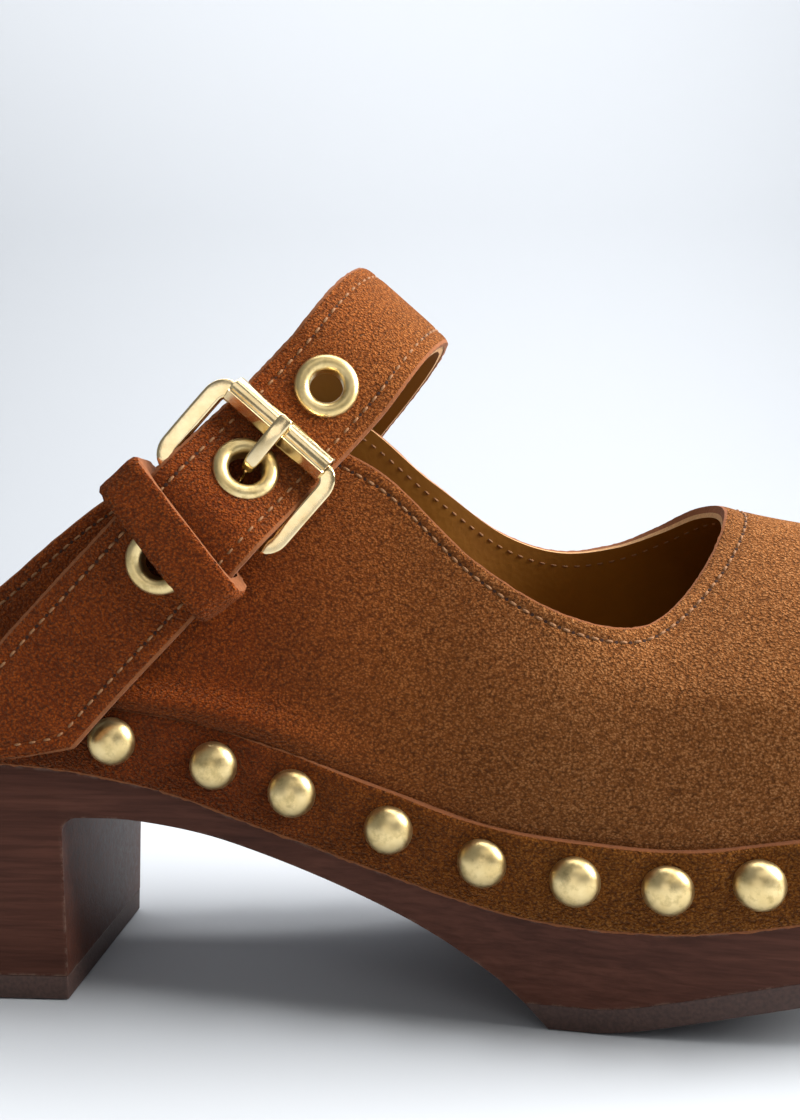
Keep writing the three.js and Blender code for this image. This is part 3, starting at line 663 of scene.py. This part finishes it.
# The rand's suede is the upper's suede made darker and less blue: painted shade for the downward-facing
# strip.
rand_suede_painted_shade = suede_material("rand_suede_painted_shade", (0.075, 0.0150, 0.0012), (0.165, 0.038, 0.002),
                            (0.32, 0.098, 0.012))
raw_edge = plain_material("raw_suede_edge", (0.215, 0.066, 0.016), 1.0, 2400)
lining = leather_material("tan_lining", (0.20, 0.072, 0.004), (0.27, 0.108, 0.005))
lining_edge = plain_material("lining_edge", (0.50, 0.27, 0.11), 0.9, 1800)
felt = plain_material("pressed_felt", (0.60, 0.50, 0.36), 1.0, 900)
wood = wood_material()
rubber = rubber_material()
polished = brass_material("polished_brass", 0.12, 0.08, 0.0, (0.74, 0.56, 0.29), (0.90, 0.74, 0.46))
satin = brass_material("satin_brass", 0.30, 0.12, 0.6, (0.66, 0.49, 0.21), (0.83, 0.66, 0.34))
thread = plain_material("tan_thread", (0.27, 0.120, 0.042), 0.8, 3000)
# Needle holes are drawn as near-black discs: painted shade in place of the holes' recess.
hole_shade_disc = plain_material("needle_hole_painted_shade", (0.030, 0.0075, 0.0015), 1.0, 900)

# ---- sole

WALL_STEPS = 320


def draft(x, z):
    back = (HEEL_BACK_DRAFT - WALL_DRAFT) * (1 - blend_step(-56, -25, x))
    front = (FOREFOOT_DRAFT - WALL_DRAFT) * blend_step(58, 90, x)
    return (rand_lower(x) - z) * (WALL_DRAFT + back + front)


def outline_ring(shares, inset, z):
    ring = outline_point(shares, inset)
    ring[:, 2] = z
    return ring


def sole_block(name, rabbet, material):
    """The sole's outline as a drafted block, before its side profile is cut."""
    shares = np.arange(WALL_STEPS) / WALL_STEPS
    x = outline.at(shares)[:, 0]
    recess = np.where(shares <= RAND_SHARE, rabbet, 0)
    ledge = rand_lower(x)
    rings = [outline_ring(shares, inset, z)
             for inset, z in ((draft(x, -1), -1), (0 * x, ledge), (recess, ledge), (recess, 70))]
    if rabbet == 0:
        rings.pop(2)
    return loft_object(name, rings, material)


def side_cutter(profile):
    """A side view outline [x, z] pulled out across the shoe."""
    near, far = ([(x, y, z) for x, z in profile] for y in (-60, 60))
    return loft_object("cutter", [near, far], wood)


def rocker_profile(lift):
    return [(x, float(rocker_height(x)) + lift) for x in np.linspace(81.5, 202, 90)]


def arch_profile():
    fillet = [(3 - 3 * math.cos(a), 31 + 3 * math.sin(a)) for a in np.linspace(0, 1.4, 6)]
    return fillet + [(x, float(arch_height(x))) for x in np.linspace(5, 77, 60)]


def cut_to_profile(name, rabbet, profile, material, edge):
    piece = sole_block(name, rabbet, material)
    boolean(piece, side_cutter(profile), "INTERSECT")
    bevel(piece, edge)
    return bake_modifiers(piece)


def make_sole():
    top = [(x, float(rand_upper(x)) - SOLE_TOP_BELOW_RAND) for x in np.linspace(203, -62, 120)]
    under = TREAD + 0.05
    profile = [(-62, under), (0, under), *arch_profile(), *rocker_profile(under), *top]
    body = cut_to_profile("sole_wood", RABBET, profile, wood, 0.7)
    finish_piece(body, SHOE, "wood", "wooden_sole")
    heel = cut_to_profile("heel_rubber", 0, [(-62, 0), (0, 0), (0, TREAD), (-62, TREAD)], rubber, 0.4)
    finish_piece(heel, SHOE, "rubber", "heel_top_piece")
    lower = [(TREAD_START, 0.0)] + [p for p in rocker_profile(0) if p[0] > TREAD_START]
    tread = cut_to_profile("forefoot_rubber", 0, lower + rocker_profile(TREAD)[::-1], rubber, 0.4)
    finish_piece(tread, SHOE, "rubber", "forefoot_outsole")


def make_sock():
    """The leather sock under the foot, following the wood's top."""
    inset = RABBET + LINING + 1.2
    shares = np.arange(WALL_STEPS) / WALL_STEPS
    rings = [outline_ring(shares, inset, z) for z in (10, 80)]
    piece = loft_object("sock_leather", rings, lining)
    xs = np.linspace(-60, 198, 100)
    floor = [(x, float(rand_upper(x)) - SOLE_TOP_BELOW_RAND + 0.05) for x in xs]
    top = [(x, z + SOCK_LINING) for x, z in floor[::-1]]
    boolean(piece, side_cutter(floor + top), "INTERSECT")
    bevel(piece, 0.5)
    bake_modifiers(piece)
    finish_piece(piece, SHOE, "lining", "sock_lining")


make_sole()
make_sock()

# ---- upper

UPPER_COLUMNS = 360
TOP_BANDS = (0, 0.35, 0.9, 1.6, 2.2, 2.6, 3.0, 3.4, 3.8, 4.6, 6.0, 8.0)
STITCH_INSET = 3.0
SHORT_WALL = 20


def band_scale(length):
    return np.minimum(1, length / SHORT_WALL)


def upper_levels(u):
    """Rows of v for each u, and the wall's length above the rand in millimetres.

    The rows next to the topline keep their width, unless the wall is shorter than SHORT_WALL.
    """
    wall = upper_face(u[:, None], np.linspace(0, 1, 24)[None])
    length = np.linalg.norm(np.diff(wall, axis=1), axis=2).sum(axis=1)
    scale = band_scale(length)
    bands = [1 - d * scale / length for d in TOP_BANDS[::-1]]
    rand = [np.full(len(u), t) for t in (-1, -0.75, -0.5, -0.25)]
    middle = [bands[0] * t**1.15 for t in np.linspace(0, 1, 44)[:-1]]
    return np.stack(rand + middle + bands, axis=1), length


def puff_cover(u, v):
    along = 1 - blend_step(0.12, 0.17, np.abs(u - 0.5))
    return along * blend_step(0, 0.16, v) * (1 - blend_step(0.58, 0.8, v))


def side_roll(u, v):
    """Where the suede rolls out over the rand along the lateral and medial sides."""
    away = np.minimum(u, 1 - u)
    side = blend_step(0.04, 0.08, away) * (1 - blend_step(0.13, 0.20, away))
    return 2.5 * side * np.exp(-((v - 0.055) / 0.06)**2)


def suede_outer(u, v):
    u, v = np.broadcast_arrays(u, v)
    rest = upper_layer(u, v, LINING + GAP + SUEDE + puff_cover(u, v) * (TOE_PUFF + GAP) + side_roll(u, v))
    normal = upper_normal(u, v)
    soft = wobble(rest, 26, 0.55, 1.0) * blend_step(-0.02, 0.12, v)
    return rest + normal * soft[..., None]


def stitch_groove(distance):
    return -0.28 * np.exp(-((distance - STITCH_INSET) / 0.55)**2)


def make_upper():
    u = np.linspace(0, 1, UPPER_COLUMNS + 1)
    v, length = upper_levels(u)
    uu = np.repeat(u[:, None], v.shape[1], axis=1)
    normal = upper_normal(uu, v)
    distance = (1 - v) * (length / band_scale(length))[:, None]
    outer = suede_outer(uu, v) + normal * stitch_groove(distance)[..., None]
    edge = np.exp(-distance / 0.5)
    outer -= normal * (edge * 0.3)[..., None]
    inner = upper_layer(uu, v, LINING)
    ragged = wobble(outer[:, -1], 0.9, 0.16, 4.0)
    rise = outer[:, -1] - outer[:, -3]
    rise /= np.linalg.norm(rise, axis=1, keepdims=True)
    outer[:, -1] += rise * ragged[:, None]
    skin = shell_object("suede_skin", inner, outer, suede, raw_edge, raw=(0, 1))
    finish_piece(skin, SHOE, "suede", "upper_suede")
    back = upper_layer(uu, v, 0)
    front = upper_layer(uu, v, LINING - 0.02)
    leather = shell_object("lining_skin", back, front, lining, lining_edge)
    finish_piece(leather, SHOE, "lining", "upper_lining")


def make_rand():
    u = np.linspace(0, 1, 560)
    rows = np.array([-1.0, -0.975, -0.93, -0.8, -0.62, -0.44, -0.26, -0.12, -0.05, -0.02, 0.0])
    uu, vv = np.meshgrid(u, rows, indexing="ij")
    edge = np.minimum(vv + 1, -vv)
    swell = RAND_OUTER - 0.5 * np.exp(-edge / 0.03)
    swell = swell + wobble(upper_layer(uu, vv, swell), 9, 0.3, 2.0)
    for share in stud_shares():
        away = np.hypot((uu - share) * RAND_LENGTH, (vv - STUD_LEVEL) * RAND_HEIGHT)
        swell = swell - 0.35 * np.exp(-((away - STUD_RADIUS) / 1.6)**2)
    outer = upper_layer(uu, vv, swell)
    inner = upper_layer(uu, vv, RAND_INNER - 0.28)
    for row, sign, seed in ((0, -1, 5.0), (-1, 1, 6.0)):
        outer[:, row, 2] += wobble(outer[:, row], 1.1, 0.32, seed) + sign * 0.05
    # Its face takes the darker copy of the suede, painted shade for a strip that faces down.
    strip = shell_object("rand_leather", inner, outer, rand_suede_painted_shade, raw_edge, raw=(1, 1))
    finish_piece(strip, SHOE, "suede", "rand_strip")


# ---- studs


def lateral_share(x):
    low, high = 0.0, 0.45
    for _ in range(30):
        middle = (low + high) / 2
        if upper_face(middle, -0.5)[0] < x:
            low = middle
        else:
            high = middle
    return low


def stud_shares():
    lateral = [lateral_share(x) for x in LATERAL_STUD_X]
    left = RAND_LENGTH * (1 - lateral[-1]) - STUD_PITCH * 0.5
    step = STUD_PITCH / RAND_LENGTH
    return lateral + [lateral[-1] + (i + 1) * step for i in range(int(left // STUD_PITCH))]


def make_studs():
    rise = np.radians(np.linspace(2, 88, 12))
    dome = [(0.01, -0.3), (DOME_RADIUS - 0.25, -0.3)]
    dome += [(DOME_RADIUS * math.cos(a), STUD_HEIGHT * math.sin(a)) for a in rise]
    dome += [(0.01, STUD_HEIGHT)]
    tilt = np.random.default_rng(7)
    for i, share in enumerate(stud_shares()):
        normal = upper_normal(share, STUD_LEVEL) + tilt.normal(0, 0.035, 3)
        seat = upper_layer(share, STUD_LEVEL, RAND_OUTER + GAP)
        piece = loft_object(f"dome_{i + 1:02d}", turned_points(dome, 40, seat, normal), satin, sharp=50)
        finish_piece(piece, SHOE, "brass", f"stud_{i + 1:02d}")


make_upper()
make_rand()
make_studs()

# ---- strap

STRAP_COLUMNS = 420
STRAP_ROWS = 41


def strap_half_width(share):
    """Half the strap's width, drawn in to a blunt point at its free tip."""
    left = (1 - share) * strap_path.length
    point = 1.2 + (STRAP_HALF_WIDTH - 1.2) * np.clip(left / TIP_LENGTH, 0, 1)**0.92
    return np.minimum(STRAP_HALF_WIDTH, point)


def strap_face(share, across, offset):
    """A point of the strap: across runs -1 to 1 over its width, offset from its middle."""
    place = strap_path.at(share)
    width = strap_half_width(share)
    z = drift(place[..., 0], place[..., 1]) + across * width
    face = place + path_normal(strap_path, share) * np.asarray(offset)[..., None]
    face[..., 2] = z
    return face


def make_strap():
    s, w = np.meshgrid(np.linspace(0, 1, STRAP_COLUMNS), np.linspace(-1, 1, STRAP_ROWS), indexing="ij")
    from_edge = (1 - np.abs(w)) * strap_half_width(s)
    outer = strap_face(s, w, STRAP_HALF)
    lift = 0.25 * (1 - w**4) - 0.35 * np.exp(-from_edge / 0.5)
    lift += stitch_groove(from_edge) + wobble(outer, 14, 0.25, 3.0)
    outer = strap_face(s, w, STRAP_HALF + lift)
    outer[..., 2] += wobble(outer, 1.0, 0.16, 8.0) * (np.abs(w) > 0.97)
    middle = strap_face(s, w, STRAP_HALF - STRAP_SUEDE)
    skin = shell_object("strap_skin", from_strap(middle), from_strap(outer), suede, raw_edge, raw=(1, 1))
    finish_piece(cut_eyelets(skin), SHOE, "suede", "strap_suede")
    inside = strap_face(s, w * 0.985, -STRAP_HALF)
    middle = strap_face(s, w * 0.985, STRAP_HALF - STRAP_SUEDE - 0.02)
    leather = shell_object("strap_leather", from_strap(inside), from_strap(middle), lining, lining_edge)
    finish_piece(cut_eyelets(leather), SHOE, "lining", "strap_lining")


def cut_eyelets(piece):
    for level in EYELET_LEVELS:
        place, normal = eyelet_place(level)
        rings = turned_points([(EYELET_BARREL, -4), (EYELET_BARREL, 4)], 32, place, normal)
        boolean(piece, loft_object("cutter", from_strap(rings), raw_edge), "DIFFERENCE")
    return piece


def make_eyelets():
    rim = [(2.95, -2.2), (2.95, -0.2)]
    rim += [(4.3 - 1.4 * math.cos(a), 0.05 + 1.15 * math.sin(a)) for a in np.linspace(0.15, 2.9, 12)]
    rim += [(5.55, -0.1), (EYELET_BARREL, -0.12), (EYELET_BARREL, -2.2), (2.95, -2.2)]
    rim = [(r, h + STRAP_HALF + 0.2) for r, h in rim]
    back = STRAP_HALF + 0.1
    washer = [(3.75, -back - 0.6), (4.1, -back - 0.75), (4.5, -back - 0.6), (4.75, -back - 0.1),
              (4.7, -back + 0.1), (3.75, -back + 0.1), (3.75, -back - 0.6)]
    for i, level in enumerate(EYELET_LEVELS):
        place, normal = eyelet_place(level)
        for name, profile, node in (("rim", rim, "eyelet"), ("ring", washer, "eyelet_washer")):
            rings = from_strap(turned_points(profile, 56, place, normal))
            piece = loft_object(f"{name}_{i + 1}", rings, satin, caps=False, sharp=60)
            finish_piece(piece, SHOE, "brass", f"{node}_{i + 1}")


make_strap()
make_eyelets()

# ---- stitches

STITCH_PITCH = 2.5
STITCH_LENGTH = 1.55
THREAD_RADIUS = 0.23
SEAM_SAMPLES = 2400


def capsule(start, end, normal, radius):
    """Rings of a short fat thread that dives in at both ends."""
    shares = np.array([0, 0.12, 0.3, 0.5, 0.7, 0.88, 1])
    widths = np.array([0.25, 0.75, 1, 1, 1, 0.75, 0.25]) * radius
    depth = np.array([-0.3, 0.0, 0.1, 0.14, 0.1, 0.0, -0.3])
    along = (end - start) / np.linalg.norm(end - start)
    side = np.cross(along, normal)
    turns = np.linspace(0, 2 * math.pi, 8, endpoint=False)
    rings = []
    for share, width, sink in zip(shares, widths, depth):
        centre = mix(start, end, share) + normal * sink
        ring = [centre + (side * math.cos(a) + normal * math.sin(a)) * width for a in turns]
        rings.append(ring)
    return np.array(rings)


def stitch_rows(name, rows, slot):
    """Thread, and a dark disc of painted shade at each needle hole, along rows of (points, normals) at
    the stitch pitch.
    """
    points, faces, slots = [], [], []
    for places, normals in rows:
        for a, b, normal in zip(places[:-1], places[1:], normals[:-1]):
            gap = (1 - STITCH_LENGTH / STITCH_PITCH) / 2
            add_rings(capsule(mix(a, b, gap), mix(a, b, 1 - gap), normal, THREAD_RADIUS),
                      points, faces, slots, 0)
            # A flat disc in the needle-hole colour: painted shade, not a real hole.
            pit = [(0.01, -0.1), (0.34, -0.1), (0.30, 0.03), (0.01, 0.05)]
            add_rings(turned_points(pit, 10, a, normal), points, faces, slots, 1)
    piece = make_object(name, np.array(points), faces, [thread, hole_shade_disc], slots)
    return finish_piece(piece, SHOE, slot)


def add_rings(rings, points, faces, slots, slot):
    """Adds one small lofted solid to a mesh that is still being listed."""
    added = ring_faces(*rings.shape[:2], start=len(points))
    points.extend(rings.reshape(-1, 3))
    faces.extend(added)
    slots.extend([slot] * len(added))


def evenly(points, pitch):
    """Indices of points along a line at an even pitch."""
    lengths = np.concatenate([[0], np.cumsum(np.linalg.norm(np.diff(points, axis=0), axis=1))])
    marks = np.arange(0, lengths[-1], pitch)
    return np.interp(marks, lengths, np.arange(len(points)))


def groove_face(u, v):
    return suede_outer(u, v) - upper_normal(u, v) * 0.2


def along_topline(face):
    """u and v at the stitch pitch along the topline, as measured on the given face."""
    u = np.linspace(0.012, 0.988, SEAM_SAMPLES)
    _, length = upper_levels(u)
    v = 1 - STITCH_INSET * band_scale(length) / length
    marks = evenly(face(u, v), STITCH_PITCH)
    return [np.interp(marks, np.arange(len(u)), values) for values in (u, v)]


def topline_stitches():
    u, v = along_topline(groove_face)
    return groove_face(u, v), upper_normal(u, v)


def lining_stitches():
    """The same seam where it shows on the lining."""
    u, v = along_topline(upper_face)
    return upper_layer(u, v, 0.1), -upper_normal(u, v)


def strap_stitches(side):
    shares = np.linspace(0.01, 0.985, SEAM_SAMPLES)
    inset = (strap_half_width(shares) - STITCH_INSET) / strap_half_width(shares)
    marks = evenly(strap_face(shares, side * inset, STRAP_HALF - 0.05), STITCH_PITCH)
    shares, inset = (np.interp(marks, np.arange(SEAM_SAMPLES), values) for values in (shares, inset))
    places = strap_face(shares, side * inset, STRAP_HALF - 0.05)
    normals = from_strap(path_normal(strap_path, shares)) - np.array(STRAP_TOP)
    return from_strap(places), normals


stitch_rows("topline_stitching", [topline_stitches()], "suede")
stitch_rows("lining_stitching", [lining_stitches()], "lining")
stitch_rows("strap_stitching", [strap_stitches(1), strap_stitches(-1)], "suede")

# ---- buckle hardware


def rounded_section(half_width, half_thick, power, count=24):
    """A closed section between an ellipse (power 2) and a rectangle with soft corners."""
    turns = np.linspace(0, 2 * math.pi, count, endpoint=False)
    c, s = np.cos(turns), np.sin(turns)
    return np.stack([half_width * np.sign(c) * np.abs(c)**(2 / power),
                     half_thick * np.sign(s) * np.abs(s)**(2 / power)], axis=1)


def frame_path():
    """Centre line of the buckle frame in the strap's (y, z) plane, corners rounded."""
    radius = 3.0
    y0, y1, z0, z1 = REAR_BAR_Y, FRONT_BAR_Y, -ARM_Z, ARM_Z
    centres = ((y1 - radius, z1 - radius, 0), (y0 + radius, z1 - radius, 90),
               (y0 + radius, z0 + radius, 180), (y1 - radius, z0 + radius, 270))
    line = []
    for y, z, start in centres:
        for a in np.radians(np.linspace(start, start + 90, 10)):
            line.append((y + radius * math.cos(a), z + radius * math.sin(a)))
    line = np.array(line)
    dense = []
    for a, b in zip(line, np.roll(line, -1, axis=0)):
        steps = max(1, int(np.linalg.norm(b - a) / 0.8))
        dense.extend(mix(a, b, t / steps) for t in range(steps))
    return np.array(dense)


def make_frame():
    line = frame_path()
    ahead = np.roll(line, -1, axis=0) - np.roll(line, 1, axis=0)
    ahead /= np.linalg.norm(ahead, axis=1, keepdims=True)
    rings = []
    for (y, z), (ty, tz) in zip(line, ahead):
        arm = float(blend_step(ARM_Z - 2.6, ARM_Z - 1.2, abs(z)))
        bar = FRONT_BAR_RADIUS if y > FRAME_MIDDLE_Y else REAR_BAR_RADIUS
        width = mix(bar, 1.6 if z < 0 else 1.4, arm)
        thick = mix(bar, 1.1, arm)
        section = rounded_section(width, thick, mix(2.0, 7.0, arm))
        crown = -0.25 * arm
        bow = -HEEL_ARM_BOW * float(blend_step(0, ARM_Z, -z)) * (1 - ((y - FRAME_MIDDLE_Y) / 22)**2)
        ring = [(BUCKLE_X + crown - t, y - tz * w, z + bow + DRIFT_BUCKLE + ty * w) for w, t in section]
        rings.append(ring)
    rings = np.array(rings + rings[:1])
    piece = loft_object("buckle_ring", from_strap(rings), polished, caps=False, sharp=35)
    finish_piece(piece, "buckle", "brass", "buckle_frame")


def roller_section():
    """The rolled sheet: round, with its seam and the flat beside it facing the outside."""
    ring = []
    for a in np.linspace(0, 2 * math.pi, 72, endpoint=False):
        radius = ROLLER_RADIUS
        turn = math.degrees(a)
        if 180 < turn < 258:
            radius = min(radius + 0.12, 2.38 / max(math.cos(math.radians(turn - 220)), 0.6))
        if abs(turn - 187) < 4:
            radius -= 0.3
        ring.append((radius * math.cos(a), radius * math.sin(a)))
    return ring


def make_roller():
    half, back = ROLLER_LENGTH / 2, -ROLLER_LENGTH / 2 - 0.8
    section = np.array(roller_section())
    rings = []
    for z, scale in ((back, 0.7), (back, 0.93), (back + 0.15, 0.99), (back + 0.4, 1), (half - 0.4, 1),
                     (half - 0.15, 0.99), (half, 0.93), (half, 0.7)):
        ring = [(BUCKLE_X + x * scale, FRONT_BAR_Y + y * scale, z + DRIFT_BUCKLE) for x, y in section]
        rings.append(ring)
    rings.append([(BUCKLE_X + x, FRONT_BAR_Y + y, half + DRIFT_BUCKLE) for x, y in section * 0.68])
    inner = [[(BUCKLE_X + x, FRONT_BAR_Y + y, z + DRIFT_BUCKLE) for x, y in section * 0.68]
             for z in (half, back)]
    rings = np.array(rings + inner + rings[:1])
    piece = loft_object("rolled_sleeve", from_strap(rings), polished, caps=False, sharp=30)
    finish_piece(piece, "roller", "brass", "buckle_roller")


def sweep(path, sections, samples):
    """Rings of a bar that follows a path in the strap's (x, y) plane; sections(share) gives [z, out]."""
    rings = []
    for share in samples:
        place = path.at(share)
        normal = path_normal(path, share)
        ring = [place + normal * t + np.array([0, 0, DRIFT_BUCKLE + w]) for w, t in sections(share)]
        rings.append(ring)
    return np.array(rings)


def make_prong():
    rest = BUCKLE_X - ROLLER_RADIUS - 0.9 - GAP
    around = [(BUCKLE_X + 1.75 * math.cos(a), REAR_BAR_Y + 1.75 * math.sin(a))
              for a in np.radians(np.linspace(75, 350, 12))]
    path = Curve([*around, (BUCKLE_X + 2.3, -46.2), (BUCKLE_X + 2.7, -44), (BUCKLE_X + 1, -41.5),
                  (BUCKLE_X - 2, -39.1), (rest + 0.5, -35.8), (rest, -32), (rest + 0.2, -29.0)])

    def section(share):
        flat = float(blend_step(0.55, 0.75, share))
        end = float(np.clip((1 - share) * path.length / 0.5, 0, 1))**0.5
        loop = float(blend_step(0.24, 0.34, share))
        width = mix(1.25, mix(1.05, 1.28, flat), loop) * mix(0.72, 1, end)
        thick = mix(0.55, 0.85, loop) * mix(0.6, 1, end)
        return rounded_section(width, thick, mix(2.2, 5.0, flat))
    samples = np.concatenate([np.linspace(0, 0.97, 70), np.linspace(0.975, 1, 8)])
    piece = loft_object("prong_bar", from_strap(sweep(path, section, samples)), polished, sharp=35)
    finish_piece(piece, "prong", "brass", "buckle_prong")


def make_tab():
    """One ply folded round the rear bar, slotted for the prong."""
    radius = 2.0
    levels = (TAB_END_Y, -70, -57, -54.4, -53.2)
    points = [(BUCKLE_X + 0.65, y) for y in levels]
    points += [(BUCKLE_X + radius * math.cos(a), REAR_BAR_Y + radius * math.sin(a))
               for a in np.radians((-25, 20, 65, 115, 160, 205))]
    points += [(BUCKLE_X - 0.65, y) for y in levels[::-1]]
    path = Curve(points)
    slot_share = 0.5 - 8.0 / path.length
    for name, low, high, start, end in (("tab_leather", -1, 1, 0, slot_share),
                                        ("tab_outer_ply", -1, 1, 1 - slot_share, 1),
                                        ("tab_loop_heel", -1, -0.24, slot_share, 1 - slot_share),
                                        ("tab_loop_toe", 0.24, 1, slot_share, 1 - slot_share)):
        s, w = np.meshgrid(np.linspace(start, end, 60), np.linspace(low, high, 14), indexing="ij")
        faces = []
        for offset in (-0.48, 0.48):
            face = path.at(s) + path_normal(path, s) * offset
            face[..., 2] = DRIFT_BUCKLE + w * TAB_WIDTH / 2
            faces.append(from_strap(face))
        piece = shell_object(name, faces[0], faces[1], suede, raw_edge)
        finish_piece(piece, SHOE, "suede", "buckle_tab")


def make_keeper():
    """A soft band round the tab and the tail, its heel-side end a little higher."""
    depth = (KEEPER_INNER_X - KEEPER_OUTER_X) / 2
    half, heel_half = STRAP_HALF_WIDTH + 2.6, STRAP_HALF_WIDTH + 5.1
    turns = np.linspace(0, 2 * math.pi, 160, endpoint=False)
    rows = np.array([-1, -0.97, -0.88, -0.6, -0.3, 0, 0.3, 0.6, 0.88, 0.97, 1.0]) * KEEPER_HEIGHT / 2
    skin, core = [], []
    for a in turns:
        c, s = math.cos(a), math.sin(a)
        x = depth * np.sign(c) * abs(c)**0.42
        z = (half if s > 0 else heel_half) * np.sign(s) * abs(s)**0.30
        skin.append([(x, y, z) for y in rows])
        core.append([(x * 0.78, y, z * (0.76 if s > 0 else 0.74)) for y in rows])
    skin, core = np.array(skin), np.array(core)
    rim = np.exp(-(KEEPER_HEIGHT / 2 - np.abs(skin[..., 1])) / 0.35)
    puff = 1 + (wobble(skin, 7, 0.035, 12.0) - rim * 0.045)[..., None]
    skin = skin * np.where([True, False, True], puff, 1)
    skin[:, [0, -1], 1] += wobble(skin[:, [0, -1]], 0.9, 0.22, 13.0)
    turn = Matrix.Rotation(KEEPER_SKEW, 3, "X")
    middle = np.array([(KEEPER_INNER_X + KEEPER_OUTER_X) / 2, KEEPER_Y, drift(-1, KEEPER_Y)])
    skin, core = ((part @ np.array(turn).T) + middle for part in (skin, core))
    count, rows_count = skin.shape[:2]
    points = np.concatenate([skin.reshape(-1, 3), core.reshape(-1, 3)])
    faces = grid_faces(count, rows_count, wrap=True, flip=True)
    faces += grid_faces(count, rows_count, count * rows_count, wrap=True)
    skins = len(faces)
    for c in range(count):
        for row, flip in ((0, 1), (rows_count - 1, -1)):
            a, b = c * rows_count + row, ((c + 1) % count) * rows_count + row
            faces.append((a, b, b + count * rows_count, a + count * rows_count)[::flip])
    slots = [0] * skins + [1] * (len(faces) - skins)
    piece = make_object("keeper_band", from_strap(points), faces, [suede, raw_edge], slots, 50)
    finish_piece(piece, "keeper", "suede", "keeper_loop")


make_frame()
make_roller()
make_prong()
make_tab()
make_keeper()

puff = frame["nodes"]["toe_puff"]
puff.data.materials.clear()
puff.data.materials.append(felt)

# ---- stage and lighting


def light(name, place, aim, size, power, colour):
    lamp = bpy.data.lights.new(name, "AREA")
    lamp.shape = "RECTANGLE"
    lamp.size, lamp.size_y = size
    lamp.energy = power
    lamp.color = colour
    holder = bpy.data.objects.new(name, lamp)
    bpy.context.scene.collection.objects.link(holder)
    holder.location = place
    holder.rotation_euler = (Vector(aim) - Vector(place)).to_track_quat("-Z", "Y").to_euler()


OBJECT_MIDDLE = (0, 0, 0.05)


def around(azimuth, height, distance):
    """A place round the clog: degrees from the toe towards the medial side, and degrees up."""
    a, h = math.radians(azimuth), math.radians(height)
    return (distance * math.cos(h) * math.cos(a), distance * math.cos(h) * math.sin(a),
            distance * math.sin(h) + OBJECT_MIDDLE[2])


def make_stage():
    """A pale floor that curves up into its backdrop."""
    depth, rise, bend, width = 0.9, 1.6, 0.5, 3.0
    side = [(-2.4, 0.0)]
    for a in np.linspace(0, math.pi / 2, 24):
        side.append((depth + bend * math.sin(a), bend - bend * math.cos(a)))
    side.append((depth + bend, rise))
    points = [(x, y, z - 0.0002) for x in (-width, width) for y, z in side]
    count = len(side)
    mesh = bpy.data.meshes.new("floor")
    mesh.from_pydata(points, [], [(i, i + count, i + count + 1, i + 1) for i in range(count - 1)])
    mesh.polygons.foreach_set("use_smooth", [True] * len(mesh.polygons))
    n = Nodes("pale_floor")
    n.set(Base_Color=(0.44, 0.463, 0.497, 1), Roughness=0.75)
    n.set(Specular_IOR_Level=0.2)
    mesh.materials.append(n.material)
    floor = bpy.data.objects.new("floor", mesh)
    bpy.context.scene.collection.objects.link(floor)


def make_world():
    world = bpy.data.worlds.new("studio")
    bpy.context.scene.world = world
    world.use_nodes = True
    back = world.node_tree.nodes["Background"]
    back.inputs["Color"].default_value = (0.95, 0.98, 1.0, 1)
    back.inputs["Strength"].default_value = 0.23


def make_camera():
    """A view from close to the lateral side, level with the strap's upper part."""
    lens = bpy.data.cameras.new("camera")
    lens.lens = 36.32
    lens.sensor_width = 36
    camera = bpy.data.objects.new("camera", lens)
    bpy.context.scene.collection.objects.link(camera)
    camera.location = to_row((68.6, -220.9, 88.3))
    camera.rotation_euler = (math.radians(87.47), 0, math.radians(2.53))
    lens.clip_start = 0.01
    bpy.context.scene.camera = camera


bpy.context.scene.view_settings.view_transform = "Standard"
make_stage()
make_world()
make_camera()
light("toe_key", around(-4, 32, 1.0), OBJECT_MIDDLE, (0.6, 0.6), 33.0, (1.0, 0.985, 0.95))
light("overhead", around(60, 80, 1.1), OBJECT_MIDDLE, (0.9, 0.7), 9.0, (1.0, 1.0, 1.0))
light("front_fill", around(-80, 40, 1.3), OBJECT_MIDDLE, (0.9, 0.5), 1.3, (1.0, 0.97, 0.93))
light("buckle_card", around(-102, 6, 1.1), OBJECT_MIDDLE, (0.45, 0.35), 0.6, (1.0, 0.96, 0.92))
light("roller_card", around(-33, 55, 1.1), OBJECT_MIDDLE, (0.35, 0.35), 0.9, (1.0, 0.98, 0.95))
light("backdrop_wash", (0, 0.75, 1.3), (0, 1.35, 0.25), (2.6, 0.5), 23.0, (1.0, 0.985, 0.965))

bpy.context.view_layer.update()
